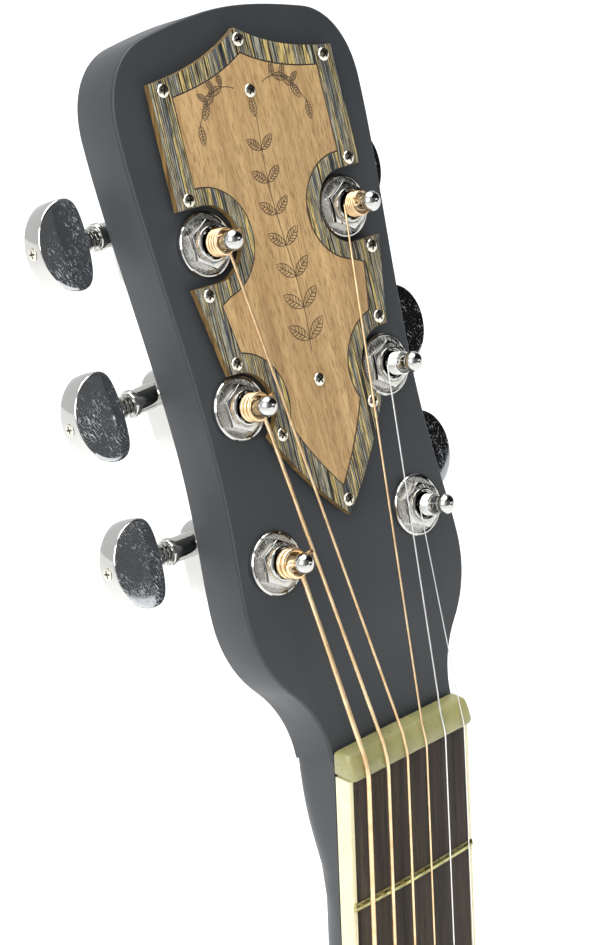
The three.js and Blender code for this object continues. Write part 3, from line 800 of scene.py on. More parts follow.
@dataclass(frozen=True)
class TanVeneer(Finish):
    """A pale tan, fine-grained wood, whose grain runs up the headstock's face."""

    name: str = "tan_veneer"
    dark: tuple = (0.30, 0.185, 0.082)
    middle: tuple = (0.40, 0.265, 0.124)
    light: tuple = (0.52, 0.355, 0.172)

    def mix(self) -> bpy.types.Material:
        """Makes the material."""
        made = Recipe(self.name, Specular_IOR_Level=0.3)
        bands = made.noise(made.grid((1, 0.045, 1), LEAN), 330, 5, 0.6, 0.5)
        tone = made.ramp(bands, [(0.28, self.dark), (0.72, self.light), (0.5, self.middle)])
        broad = made.noise(made.grid((1, 0.3, 1), LEAN), 42, 3)
        patches = made.ramp(broad, [(0.3, (0.90, 0.88, 0.84)), (0.7, (1.08, 1.08, 1.06))])
        tone = made.mixed(1.0, tone, patches, "MULTIPLY")
        dash = made.noise(made.grid((1, 0.10, 1), LEAN), 3000, 3, 0.6)
        pore = made.between(dash, 0.51, 0.62, 0, 0.7)
        made.to("Base Color", made.mixed(pore, tone, (0.19, 0.105, 0.042, 1)))
        made.rough(dash, 0.50, 0.66)
        made.raise_by(made.between(dash, 0.5, 0.7, 1, 0), 0.3, 0.03)
        return made.made


@dataclass(frozen=True)
class Moulding(Finish):
    """Moulded plastic with a fine grained surface."""

    name: str = "black_moulding"
    colour: tuple = (0.012, 0.012, 0.013)
    roughness: float = 0.45
    grain: float = 1400

    def mix(self) -> bpy.types.Material:
        """Makes the material."""
        made = Recipe(self.name)
        grid = made.grid()
        lighter = tuple(1.7 * c + 0.004 for c in self.colour)
        made.to("Base Color", made.ramp(made.noise(grid, 90, 4), [(0.3, self.colour), (0.75, lighter)]))
        fine = made.noise(grid, self.grain, 3, 0.6)
        made.rough(fine, self.roughness - 0.08, self.roughness + 0.12)
        made.raise_by(fine, 0.35, 0.03)
        return made.made


@dataclass(frozen=True)
class RingVeneer(Finish):
    """A band of short end-grain blocks in cream and dark wood that runs round the soundhole."""

    name: str = "ring_veneer"

    def mix(self) -> bpy.types.Material:
        """Makes the material."""
        made = Recipe(self.name, Specular_IOR_Level=0.4, Coat_Weight=0.2)
        place = made.node("ShaderNodeTexCoord").outputs["Object"]
        centred = made.node("ShaderNodeMapping", {"Vector": place, "Location": (0, 0, 0.509)}).outputs[0]
        split = made.node("ShaderNodeSeparateXYZ", {0: centred})
        angle = made.maths("ARCTAN2", split.outputs[0], split.outputs[2])
        count = made.maths("MULTIPLY", angle, 60.0)
        wave = made.maths("SINE", count)
        blocks = made.between(wave, -0.2, 0.2, 0, 1)
        tone = made.ramp(blocks, [(0.0, (0.05, 0.030, 0.018)), (1.0, (0.50, 0.38, 0.20))])
        fine = made.noise(made.grid(), 1800, 3)
        shade = made.ramp(fine, [(0.3, (0.7, 0.7, 0.7)), (0.7, (1.2, 1.2, 1.2))])
        made.to("Base Color", made.mixed(0.6, tone, shade, "MULTIPLY"))
        made.rough(fine, 0.35, 0.5)
        made.raise_by(fine, 0.2, 0.02)
        return made.made


LACQUER = SatinLacquer()
CHROME = Chrome()
WORN_CHROME = Chrome("worn_chrome", (0.50, 0.52, 0.54), 0.06, 1.0, 0.568)
# a darker copy of the chrome for the treble-side buttons' faces: painted shade
SHADED_CHROME = Chrome("shaded_chrome", (0.36, 0.375, 0.39), 0.06, 0.8, 0.595)
WASHER_CHROME = Chrome("washer_chrome", (0.60, 0.585, 0.53), 0.24, 0.8, 0.53)
SCREW_METAL = Chrome("screw_metal", (0.74, 0.71, 0.60), 0.20, 0.4)
BRONZE = Metal("bronze_wire", (0.74, 0.49, 0.25), (0.98, 0.76, 0.48), 0.34)
STEEL = Metal("plain_steel", (0.80, 0.80, 0.78), (0.92, 0.92, 0.90), 0.34)
# the dark olive tone is partly painted reflection of the dark, wooden surroundings
FRET_WIRE = Metal("fret_wire", (0.28, 0.26, 0.10), (0.58, 0.55, 0.26), 0.3)
ROD_STEEL = Metal("rod_steel", (0.26, 0.26, 0.27), (0.40, 0.40, 0.41), 0.4)
JACKET = Metal("battery_jacket", (0.05, 0.05, 0.055), (0.10, 0.10, 0.11), 0.35)
NUT_BONE = Bone("nut_bone", (0.30, 0.280, 0.118), (0.20, 0.197, 0.086))
BINDING = Bone("cream_binding", (0.74, 0.69, 0.44), (0.66, 0.60, 0.37), 0.28)
ROSEWOOD = Timber("rosewood", (0.006, 0.005, 0.004), (0.070, 0.056, 0.042), pores=0.8, gloss=0.12)
BRIDGE_WOOD = Timber("bridge_rosewood", (0.020, 0.012, 0.009), (0.090, 0.052, 0.036), (0, pi / 2, 0))
SPRUCE = Timber("spruce", (0.42, 0.27, 0.13), (0.62, 0.44, 0.24), pores=0.1, streaks=300, roughness=0.65,
                pore_colour=(0.3, 0.18, 0.08))
EDGE_WOOD = Timber("veneer_edge", (0.045, 0.027, 0.010), (0.27, 0.17, 0.055), pores=0.5, streaks=900)
VENEERS = StripedVeneer()
VENEER_RING = RingVeneer()
TAN = TanVeneer()
# burnt lines, and the overlay's base ply, where the near-black colour is partly painted shadow
BURNT_AND_SHADOW = Moulding("burnt_line_and_shadow", (0.050, 0.030, 0.014), 0.8)
BLACK_LINE = Moulding("black_line", (0.006, 0.006, 0.006), 0.6)
MOULDED = Moulding()
PEARL = Bone("pearl_dot", (0.80, 0.80, 0.76), (0.55, 0.60, 0.58), 0.2)
TORTOISE = Moulding("pickguard_sheet", (0.020, 0.009, 0.005), 0.16, 1600)


# ---------------------------------------------------------------- neck and headstock


@dataclass
class Neck:
    """The headstock, shaft and heel in one piece of wood, and the line of its face veneer."""

    thick: float = 15  # of the headstock
    edge: float = 0.5
    shaft_depth: float = 15.5
    heel_start: float = -303
    heel_depth: float = 91
    half_nut: float = 21.8
    half_end: float = 28.4  # at the fingerboard's far end
    deepens: float = 2.5  # the shaft, from the nut to the heel
    post_hole: float = 5.3
    tuck: tuple = (0.4, 0.28)  # how far the shaft's top falls behind the headstock's face, and how fast
    square_from: float = -38  # where the shaft's section starts to grow square towards the nut
    outline: list[Vector] = field(default_factory=lambda: mirrored(Neck.half_outline()))

    @staticmethod
    def half_outline() -> list[Vector]:
        """The headstock's right half, from below the nut to its crown."""
        segments = [
            ((22.6, 9), (25.5, 14.5), (29, 18.5)),
            ((34, 24), (37.3, 31), (37.3, 40)),
            ((37.3, 50), (35, 62), (35, 80)),
            ((35, 106), (39.8, 140), (39.8, 162)),
            ((39.8, 173), (34, 180.6), (26, 182.3)),
            ((18, 184), (9, 185.7), (0, 185.7)),
        ]
        return [Vector((0, -1.5)), Vector((21.9, -1.5)), *curve_points((22, 2), segments, 16)]

    def section(self, z: float) -> list[Vector]:
        """One section of the shaft, square under the fingerboard and round behind.

        Args:
            z: How far up the neck it is.

        Returns:
            The section's points, all at that height.
        """
        _, face, foot = node_box("neck")[0]
        top = face
        if z > HEAD_ROOT_Z:
            top += self.tuck[0] + (z - HEAD_ROOT_Z) * self.tuck[1]
        along = min(z, 0) / node_box("fingerboard_binding")[0].z
        half = self.half_nut + along * (self.half_end - self.half_nut)
        depth = self.shaft_depth + self.deepens * min(z, 0) / self.heel_start
        if z < self.heel_start:
            share = min((self.heel_start - z) / (self.heel_start - foot), 1)
            depth += (self.heel_depth - depth) * (1 - sqrt(1 - share**2.2))
        depth += face - top
        squareness = 2 + 10 * min(max(z - self.square_from, 0) / 40, 1) ** 2
        points = []
        for i in range(33):
            a = pi * i / 32
            c, s = cos(a), sin(a)
            x = half * copysign(abs(c) ** (2 / squareness), c)
            points.append(Vector((x, top + depth * s ** (2 / squareness), z)))
        return points

    def build(self) -> None:
        """Makes the neck and its face line."""
        foot = node_box("neck")[0].z
        heights = [12, 6, 3, 0, -4, -8, -12, -17, -23, -30, -40, -150, -260]
        heights += [self.heel_start + (foot - self.heel_start) * (1 - (1 - i / 18) ** 2) for i in range(19)]
        shaft = loft("neck_and_headstock", [self.section(z) for z in heights])
        head = moved(plate("head", [self.outline], -self.thick, 0, self.edge), HEAD)
        combined(shaft, [head], Blend.JOIN)
        board_high = node_box("fingerboard_binding")[1]
        seat = block("seat", (90, 20, 500), (0, board_high.y - 9.7, -250))
        nut_seat = block("nut_seat", (60, 20, 7.35), (0, board_high.y - 9.7, 3.55))
        low, high = node_box("truss_rod")
        middle, size = (low + high) / 2, high - low
        channel = block("channel", (7, size.y + 8, size.z + 30), (0, middle.y - 4, middle.z - 10))
        holes = []
        for number in range(1, 7):
            hole = rod("hole", self.post_hole, -self.thick - 2, 2)
            holes.append(moved(hole, HEAD @ Matrix.Translation(post_spot(number))))
        combined(shaft, [seat, nut_seat, channel, *holes], Blend.CUT)
        placed(clean(shaft), LACQUER, "black_satin", replaces=["neck"], smooth=38)
        outer = inset(self.outline, -0.05)
        seam = plate("face_veneer_line", [outer, inset(self.outline, 1.5)], -0.95, -0.62, 0.05)
        placed(moved(seam, HEAD), BLACK_LINE, "black_plastic")


# ---------------------------------------------------------------- overlay


@dataclass
class Overlay:
    """The two-piece wooden overlay on the headstock, its engraving and its screws."""

    low: float = 0.3
    high: float = 3.0
    gap: float = 0.28
    slots: tuple = ((24.7, 90.3), (23.0, 131.4))  # where the posts pass
    slot_radius: float = 9.4
    stroke: float = 0.12  # half the width of an engraved line
    inner_radii: tuple = (14.0, 13.5)
    screw_places: tuple = (
        (26.3, 169.2), (26.6, 142.8), (27.5, 119.7), (24.3, 102.0), (15.7, 81.9),
        (-26.3, 169.2), (-26.6, 142.8), (-27.5, 119.7), (-24.3, 102.0), (-15.7, 81.9),
        (0, 177.2), (0, 164.6), (0, 91.8), (0.2, 60.5),
    )

    def outer(self) -> list[Vector]:
        """The border's outline."""
        (x1, y1), (x2, y2) = self.slots
        r = self.slot_radius
        half = [
            *curve_points((0, 56.8), [((8, 64.5), (14.2, 73), (19, 81.5))], 10),
            *arc_points((x1, y1), r, -124, -270, 22),
            *[Vector(p) for p in ((26.9, y1 + r), (31.2, y2 - r))],
            *arc_points((x2, y2), r, -90, -270, 26),
            *[Vector(p) for p in ((30.2, y2 + r), (29.9, 171.4))],
            *curve_points((29.9, 171.4), [((19, 172.3), (9, 174.6), (0, 180.2))], 12)[1:],
        ]
        return mirrored(spaced(half, 0.2))

    def inner(self) -> list[Vector]:
        """The line between the border and the panel."""
        (x1, y1), (x2, y2) = self.slots
        r1, r2 = self.inner_radii
        half = [
            *curve_points((0, 64.1), [((5.2, 70.5), (9.4, 77), (12.3, 83.9))], 8),
            *arc_points((x1, y1), r1, -152.6, -258.8, 20),
            *[Vector(p) for p in ((22, y1 + r1 - 0.2), (24.2, y2 - r2 - 1.4))],
            *arc_points((x2, y2), r2, -100, -270, 28),
            *[Vector(p) for p in ((24, y2 + r2), (23.8, 167.3))],
            *curve_points((23.8, 167.3), [((15.5, 168.2), (7.5, 169.9), (0, 174.2))], 10)[1:],
        ]
        return mirrored(spaced(half, 0.2))

    def build(self) -> None:
        """Makes the border, the panel, the dark line between them, the engraving and the screws."""
        outer, inner = self.outer(), self.inner()
        for name, low, high, back, finish in (
            # the base ply is near black: partly a dark glue line, partly painted shadow under the overlay's edge
            ("overlay_base_ply", self.low, self.low + 0.78, 0.7, BURNT_AND_SHADOW),
            ("overlay_lower_ply", self.low + 0.8, self.low + 1.68, 0, EDGE_WOOD),
            ("overlay_striped_border", self.low + 1.74, self.high, 0, VENEERS),
        ):
            ply = plate(name, [inset(outer, back), inner], low, high, 0.12)
            placed(moved(ply, HEAD), finish, "striped_wood", replaces=["overlay_border"], smooth=30)
        self.tint_sides(bpy.data.objects["overlay_striped_border"])
        panel = plate("overlay_tan_panel", [inset(inner, self.gap)], self.low, self.high, 0.16)
        placed(moved(panel, HEAD), TAN, "tan_wood", replaces=["overlay_panel"])
        ring = [inset(inner, 0.02), inset(inner, self.gap)]
        line = plate("overlay_dark_line", ring, self.low, self.high - 0.12, 0.02)
        placed(moved(line, HEAD), BLACK_LINE, "black_plastic")
        self.engrave()
        self.screw_down()

    @staticmethod
    def tint_sides(border: Piece) -> None:
        """Gives the border's sides the golden edge of its veneers, and its corners a burnt line."""
        border.data.materials.append(EDGE_WOOD.material())
        border.data.materials.append(BURNT_AND_SHADOW.material())
        out = HEAD.to_3x3() @ Vector((0, 0, 1))
        for face in border.data.polygons:
            slope = abs(face.normal.dot(out))
            if slope < 0.96:
                face.material_index = 1 if slope < 0.3 else 2

    def engrave(self) -> None:
        """Draws a vine with paired leaves up the panel and a sprig each side of its top."""
        strokes: list[list[Vector]] = []
        stem = [Vector((0.9 * sin((v - 98) / 9), v)) for v in range(99, 160, 2)]
        strokes.append(stem)
        for i, v in enumerate(range(102, 156, 8)):
            size = 7.4 - 0.35 * i
            for side in (1, -1):
                strokes += self.leaf(Vector((0.9 * sin((v - 98) / 9), v)), 90 - side * 52, size)
        strokes += self.leaf(Vector((0, 158.2)), 90, 5.2)
        for side in (1, -1):
            base = Vector((4.5 * side, 166))
            shares = [i / 10 for i in range(11)]
            bow = [base + Vector((side * 13 * t, 2.6 * sin(2.4 * t) - 8.5 * t * t)) for t in shares]
            strokes.append(bow)
            for k, lean in ((3, 44), (5, 66), (7, 92), (10, 118)):
                strokes += self.leaf(bow[k], 90 - side * (lean + 60), 4.9)
                if k < len(bow) - 1:
                    strokes += self.leaf(bow[k], 90 - side * (lean - 40), 3.6)
        settings = {"dimensions": "3D", "bevel_depth": self.stroke * MM, "bevel_resolution": 1}
        settings |= {"use_fill_caps": True}
        lines = drawn("panel_engraving", strokes, False, settings)
        flat = shift(0, 0, self.high + 0.005) @ Matrix.Diagonal((1, 1, 0.22, 1))
        placed(moved(lines, HEAD @ flat), BURNT_AND_SHADOW, "tan_wood")

    @staticmethod
    def leaf(base: Vector, angle: float, size: float) -> list[list[Vector]]:
        """A pointed leaf in outline, with a rib and hatching.

        Args:
            base: Where its stalk meets the stem.
            angle: The way it points, in degrees.
            size: Its length.

        Returns:
            The strokes that draw it.
        """
        along = Vector((cos(radians(angle)), sin(radians(angle))))
        across = Vector((-along.y, along.x))

        def at(t: float, s: float) -> Vector:
            return base + along * size * t + across * size * 0.21 * s * sin(pi * t) ** 0.8

        shares = [i / 9 for i in range(10)]
        outline = [at(t, 1) for t in shares] + [at(t, -1) for t in reversed(shares[:-1])]
        hatch = [[at(t, 0), at(t + 0.14, side * 0.92)] for t in (0.22, 0.36, 0.5, 0.64) for side in (1, -1)]
        return [outline, [base, at(0.9, 0)], *hatch]

    def screw_down(self) -> None:
        """Puts a screw in each of the overlay's corners and down its middle."""
        model = cross_screw("screw_model", 1.75, 1.0)
        spin = random.Random(4)
        for i, (u, v) in enumerate(self.screw_places, 1):
            turn = Matrix.Rotation(spin.uniform(0, pi), 4, "Z")
            place = HEAD @ shift(u, v, self.high) @ turn
            placed(copied(model, f"overlay_screw_{i}", place), SCREW_METAL, "chrome")
        bpy.data.objects.remove(model)


def cross_screw(name: str, radius: float, height: float) -> Piece:
    """A pan-head screw with a cross recess, standing on Z = 0.

    Args:
        name: The piece's name.
        radius: The head's radius.
        height: The head's height.

    Returns:
        The screw's head with a short shank under it.
    """
    dome = [(radius * cos(a), height * (0.35 + 0.65 * sin(a))) for a in (i * pi / 16 for i in range(9))]
    profile = [(0, -1.2), (radius * 0.5, -1.2), (radius * 0.5, 0), (radius * 0.94, 0), *dome]
    head = turned(name, profile, 28)
    slots = []
    for turn in (0, pi / 2):
        slot = block("slot", (radius * 1.3, radius * 0.28, height * 1.3), (0, 0, height * 1.05))
        slots.append(moved(slot, Matrix.Rotation(turn, 4, "Z")))
    combined(head, slots, Blend.CUT)
    # marks the faces inside the cross, which the chrome darkens as painted shade
    recess = head.data.attributes.new(PAINTED_SHADE_RECESS, "FLOAT", "FACE")
    reach, ceiling = 0.62 * radius * MM, 0.8 * height * MM
    middles = [face.center for face in head.data.polygons]
    recess.data.foreach_set("value", [float(m.xy.length < reach and 0 < m.z < ceiling) for m in middles])
    return head


# ---------------------------------------------------------------- tuners


@dataclass
class Tuner:
    """One sealed tuner: bushing, post, string winding, button and gearbox, drawn about its post."""

    number: int
    string_radius: float
    turns: float
    place: Matrix = field(init=False)
    side: int = field(init=False)
    worm: Vector = field(init=False)  # where the worm's axis passes the post

    def __post_init__(self) -> None:
        """Finds the tuner's place on the headstock, and how far it is turned there."""
        spot = post_spot(self.number)
        turn_joint = joint(f"tuner_{self.number}_turn")
        out = HEAD.to_3x3().inverted() @ Vector(turn_joint["axis"])
        self.side = 1 if spot.x > 0 else -1
        turn = Matrix.Rotation(atan2(self.side * out.y, self.side * out.x), 4, "Z")
        self.place = HEAD @ Matrix.Translation(spot) @ turn @ Matrix.Diagonal((self.side, 1, 1, 1))
        self.worm = self.place.inverted() @ (Vector(turn_joint["pos_m"]) / MM)

    def node(self, part: str) -> str:
        """The name of one of this tuner's CAD nodes."""
        return f"tuner_{self.number}_{part}"

    def build(self, models: dict[str, Piece]) -> None:
        """Places a copy of each model and winds the string on the post.

        Args:
            models: The shared shapes by part.
        """
        for part in ("bushing", "housing", "post", "button"):
            body = self.node(part) if part in ("post", "button") else BODY
            piece = copied(models[part], f"{part}_of_tuner_{self.number}", self.place)
            placed(piece, CHROME, "chrome", body, [self.node(part)], 30)
            # the treble-side buttons' faces get the darker chrome as painted shade
            if part == "button":
                self.wear_and_shade_faces(piece, WORN_CHROME if self.side < 0 else SHADED_CHROME)
            if part == "bushing":
                self.wear_and_shade_faces(piece, WASHER_CHROME)
        end = copied(models["button_screw"], f"button_screw_{self.number}", self.place)
        placed(end, SCREW_METAL, "chrome", self.node("button"))
        lug = copied(models["housing_screw"], f"housing_screw_{self.number}", self.place)
        placed(lug, SCREW_METAL, "chrome")
        self.wind()

    @staticmethod
    def wear_and_shade_faces(piece: Piece, finish: "Chrome") -> None:
        """Gives the broad faces that lie along the headstock a more handled chrome than the rims, which on the
        treble side's buttons is darker as painted shade.
        """
        piece.data.materials.append(finish.material())
        out = HEAD.to_3x3() @ Vector((0, 0, 1))
        for face in piece.data.polygons:
            if abs(face.normal.dot(out)) > 0.985 and face.area > 0.2 * MM * MM:
                face.material_index = 1

    def wind(self) -> None:
        """Winds the string's end on the post, with the cut tip standing out of the post's hole."""
        r = self.string_radius
        top = LOWEST_TURN + 2.4 * r * self.turns
        steps = int(20 * self.turns)
        path = []
        for i in range(steps + 1):
            around = polar(POST_CORE + r, pi + 2 * pi * self.turns * i / steps)
            path.append(Vector((*around, LOWEST_TURN + (top - LOWEST_TURN) * i / steps)))
        last = path[-1]
        path.append(Vector((last.x * 0.6, last.y * 0.6, top + 0.1)))
        coil = wire(f"winding_{self.number}", path, lambda t: r * 0.97, 8)
        tip_path = [Vector((-2.0, 0.9, top)), Vector((-3.1, 1.6, top + 0.9)), Vector((-3.3, 2.2, top + 2.4))]
        tip = wire("tip", tip_path, lambda t: r * 0.9, 8)
        take(coil)
        tip.select_set(True)
        bpy.ops.object.join()
        moved(coil, self.place)
        finish, slot = (BRONZE, "bronze_wound") if self.number >= FIRST_WOUND else (STEEL, "plain_steel")
        placed(coil, finish, slot, self.node("post"), smooth=60)


@dataclass
class TunerShapes:
    """The shapes that all six tuners share, with X outwards along the worm."""

    worm: float
    depth: float  # of the worm's axis, negative behind the face
    near: float = 19.9
    far: float = 34.3
    half: float = 11.3
    under: float = -15.3  # the back of the headstock

    def bushing(self) -> Piece:
        """The washer with its raised rim, the hexagon, the lip and the threaded barrel."""
        washer = turned("bushing", [
            (3.3, -9), (3.3, 3.7), (3.6, 3.85), (3.72, 4.15), (3.95, 4.3), (4.25, 4.15), (4.42, 3.8),
            (4.45, 1.0), (7.1, 1.0), (7.28, 1.3), (7.5, 1.44), (7.8, 1.38), (8.05, 1.1), (8.05, 0.3),
            (5.0, 0.3), (5.0, -9), (3.3, -9),
        ], 64)
        clear()
        bpy.ops.mesh.primitive_cylinder_add(vertices=6, radius=6.25 * MM, depth=2.8 * MM)
        hexagon = bpy.context.object
        hexagon.data.transform(shift(0, 0, 2.2 * MM))
        cone = turned("cone", [(0, 0.5), (7, 0.5), (7, 2.85), (5.2, 3.65), (0, 3.65)], 64)
        combined(hexagon, [cone], Blend.KEEP)
        rounded(hexagon, 0.1, 2)
        combined(hexagon, [rod("bore", 4.0, -1, 6, 48)], Blend.CUT)
        return combined(washer, [hexagon], Blend.JOIN)

    def post(self) -> Piece:
        """The string post with its waist, ball and worm wheel."""
        ball = [(2.65 * cos(a), 11.35 + 2.25 * sin(a)) for a in (radians(10 * i - 40) for i in range(13))]
        profile = [
            (0, self.depth - 3.4), (2.9, self.depth - 3.4), (2.9, 2.4), (POST_CORE, 2.8), (POST_CORE, 7.2),
            (2.35, 7.7), (2.12, 8.3), (2.0, 9.2), *ball, (0.24, 13.46), (0, 13.42),
        ]
        shaft = turned("post", profile, 40)
        wheel = toothed(4.4, 3.6, WORM_TEETH)
        gear = plate("gear", [wheel], self.depth - 2.5, self.depth + 2.5, 0.1)
        return combined(shaft, [gear], Blend.JOIN)

    def along(self) -> Matrix:
        """The worm's axis, for shapes turned about Z."""
        return shift(0, self.worm, self.depth) @ Matrix.Rotation(pi / 2, 4, "Y")

    def button(self) -> Piece:
        """The D-shaped button, flatter towards its stem, with the stem and the worm."""
        near, far, y, half = self.near, self.far, self.worm, self.half
        segments = [
            ((near, y + 8.2), (near + 1, y + half), (near + 4.8, y + half)),
            ((near + 9.6, y + half), (far, y + 6.6), (far, y)),
            ((far, y - 6.6), (near + 9.6, y - half), (near + 4.8, y - half)),
            ((near + 1, y - half), (near, y - 8.2), (near, y)),
        ]
        outline = curve_points((near, y), segments, 20)[:-1][::-1]
        centre = Vector(((near + far) / 2 - 0.4, y))
        edge = [(-3.3, 0.6), (-3.27, 0.9), (-3.22, 0.965), (-3.12, 0.981), (-2.96, 0.993), (-2.75, 1.0)]
        levels = [(-3.31, 0.25), *edge, *((-w, s) for w, s in reversed(edge)), (3.31, 0.25)]
        rings = []
        for w, share in levels:
            rings.append([Vector((*(centre + (p - centre) * share), w + self.depth)) for p in outline])
        head = loft("button", rings)
        stem = turned("stem", [
            (0, -4.4), (2.3, -4.4), (2.4, -4.1), (2.4, 5.8), (1.7, 6.4), (1.7, 14.4), (2.85, 14.6),
            (2.85, 15.8), (2.5, 15.95), (2.5, 16.2), (2.85, 16.4), (2.85, 17.0), (2.2, 17.15), (2.2, 17.5),
            (2.75, 17.65), (2.75, 18.2), (2.2, 18.35), (2.2, 18.7), (2.95, 18.9), (3.0, 19.7), (2.6, 21.2),
            (0, 21.2),
        ], 36)
        return combined(head, [moved(stem, self.along())], Blend.JOIN)

    def housing(self) -> Piece:
        """The cast gearbox with its nose and its screw lug."""
        back = self.under
        shell = plate("housing", [rounded_box(17, 21, 5.5, (0, 2.2))], back - 11.4, back, 2.4)
        lug = plate("lug", [rounded_box(7, 10, 3.4, (0, -11))], back - 2.5, back, 0.5)
        nose = turned("nose", [
            (0, 4), (4.2, 4), (3.5, 6.5), (3.25, 8), (3.2, 14.2), (3.6, 14.5), (3.6, 15.6), (3.4, 15.95),
            (0, 15.95),
        ], 36)
        combined(shell, [lug, moved(nose, self.along())], Blend.JOIN)
        wheel_room = rod("wheel_room", 4.8, self.depth - 3.8, back + 1)
        worm_room = moved(rod("worm_room", 2.95, -5.2, 17), self.along())
        return combined(shell, [wheel_room, worm_room], Blend.CUT)

    def all(self) -> dict[str, Piece]:
        """Every shape, with the two small screws in their places."""
        outward = shift(self.far + 0.02, self.worm, self.depth) @ Matrix.Rotation(pi / 2, 4, "Y")
        backward = shift(0, -13.2, self.under - 2.5) @ Matrix.Rotation(pi, 4, "X")
        return {
            "bushing": self.bushing(),
            "post": self.post(),
            "button": self.button(),
            "housing": self.housing(),
            "button_screw": moved(cross_screw("button_screw", 1.55, 0.35), outward),
            "housing_screw": moved(cross_screw("housing_screw", 1.7, 0.9), backward),
        }


def build_tuners() -> None:
    """Makes the shared shapes and the six tuners."""
    sizes = zip(STRING_RADII, POST_TURNS)
    tuners = [Tuner(number, radius, turns) for number, (radius, turns) in enumerate(sizes, 1)]
    models = TunerShapes(tuners[0].worm.y, tuners[0].worm.z).all()
    for tuner in tuners:
        tuner.build(models)
    for model in models.values():
        bpy.data.objects.remove(model)


# ---------------------------------------------------------------- nut, fingerboard and strings


@dataclass
class Board:
    """The fingerboard with its frets, dots and binding, and the nut."""

    frets: int = 20
    radius: float = 406
    binding: float = 1.6
    dots: tuple = (3, 5, 7, 9, 12, 15, 17, 19)

    def half(self, z: float) -> float:
        """Half the board's width at a place down its length."""
        low, high = node_box("fingerboard_binding")
        return 21.9 + (high.x - 21.9) * z / low.z

    def fret_at(self, number: float) -> float:
        """Where a fret lies."""
        return -SCALE * (1 - 2 ** (-number / 12))

    def crown(self, x: float) -> float:
        """How far the board's top falls away at a place across it."""
        return x * x / 2 / self.radius

    def build(self) -> None:
        """Makes every piece."""
        self.build_board()
        self.build_binding()
        for number in range(1, self.frets + 1):
            self.build_fret(number)
        self.build_dots()
        self.build_nut()

    def build_board(self) -> None:
        """The rosewood, with its rounded top."""
        low, high = node_box("fingerboard")
        rings = []
        for z in (high.z, low.z):
            half = self.half(z) - self.binding - 0.05
            top = [half - 2 * half * i / 24 for i in range(25)]
            section = [(half, high.y), *((x, self.crown(x)) for x in top), (-half, high.y)]
            rings.append([Vector((x, y, z)) for x, y in section])
        board = loft("rosewood_board", rings)
        placed(board, ROSEWOOD, "rosewood", replaces=["fingerboard"])

    def build_binding(self) -> None:
        """The cream strip round the board, in one piece with mitred corners."""
        low, high = node_box("fingerboard_binding")
        lines = []
        for width in (0, self.binding):
            corners = ((0, 1), (low.z + width, 1), (low.z + width, -1), (0, -1))
            lines.append([Vector(((self.half(z) - width) * side, z)) for z, side in corners])
        strip = plate("board_binding", [[*lines[0], *reversed(lines[1])]], -high.y, -low.y, 0.25)
        placed(moved(strip, FRONT), BINDING, "cream_binding", replaces=["fingerboard_binding"])

    def build_fret(self, number: int) -> None:
        """One fret: a round crown that follows the board and ends on the binding.

        Args:
            number: Its number from the nut.
        """
        z = self.fret_at(number)
        half = self.half(z) - 0.25
        rings = []
        flank = [(1.15, 0.25), (1.1, -0.15), (0.85, -0.55), (0.45, -0.85)]
        crown = [*flank, (0, -0.95), *((-dz, dy) for dz, dy in reversed(flank))]
        for share in (-1, -0.992, -0.975, -0.9, -0.6, -0.3, 0, 0.3, 0.6, 0.9, 0.975, 0.992, 1):
            x = share * half
            tall = min(1, 0.25 + sqrt(max(0, 1 - abs(share)) * 30))
            rings.append([Vector((x, self.crown(x) + dy * tall, z + dz)) for dz, dy in crown])
        placed(loft(f"fret_{number}", rings), FRET_WIRE, "steel", smooth=60)

    def build_dots(self) -> None:
        """The pearl dots on the board and the small black ones on its bass side."""
        pearl = turned("dot_model", [(0, -0.4), (3.0, -0.4), (3.0, 0.03), (2.85, 0.07), (0, 0.07)], 40)
        black = turned("side_dot_model", [(0, -0.3), (1.0, -0.3), (1.0, 0.02), (0.9, 0.05), (0, 0.05)], 24)
        to_side = Matrix.Rotation(-pi / 2, 4, "Y")
        for number in self.dots:
            z = (self.fret_at(number) + self.fret_at(number - 1)) / 2
            spread = 9 if number == 12 else 0
            for x in {-spread, spread}:
                place = shift(x, self.crown(x), z) @ FRONT
                placed(copied(pearl, f"dot_{number}_{'b' if x < 0 else 'a'}", place), PEARL, "bone")
            place = shift(-self.half(z), 2.9, z) @ to_side
            placed(copied(black, f"side_dot_{number}", place), BLACK_LINE, "black_plastic")
        bpy.data.objects.remove(pearl)
        bpy.data.objects.remove(black)

    def build_nut(self) -> None:
        """The nut: a rounded bar with a sloped top and six slots."""
        low, high = node_box("nut")
        foot, front, rear = high.y, low.z, high.z
        mid = (front + rear) / 2
        profile = [
            (foot, front), (-0.7, front), (-1.15, front + 0.25), (-1.38, front + 0.8), (-1.4, front + 1.5),
            (-0.6, front + 3.8), (0.4, rear - 0.9), (0.9, rear - 0.3), (1.6, rear), (foot, rear),
        ]
        ends = [(0.93, 1, 1), (0.962, 0.98, 0.98), (0.982, 0.93, 0.92), (0.994, 0.84, 0.80), (1, 0.72, 0.62)]
        rings = [
            [Vector((share * high.x, foot + (y - foot) * tall, mid + (z - mid) * deep)) for y, z in profile]
            for share, tall, deep in [*((-end, *sizes) for end, *sizes in reversed(ends)), (0, 1, 1), *ends]
        ]
        nut = rounded(loft("bone_nut", rings), 0.15, 2)
        cutters = []
        for string in STRINGS:
            path = [p + Vector((0, -0.02, 0)) for p in string.path()[1:-2]]
            ahead, behind = path[0] + (path[0] - path[1]) * 0.6, path[-1] + Vector((0, 0, -6))
            cutters.append(wire("slot", [ahead, *path, behind], lambda t, r=string.radius: r + 0.16, 12))
        combined(nut, cutters, Blend.CUT)
        placed(nut, NUT_BONE, "bone", replaces=["nut"], smooth=45)


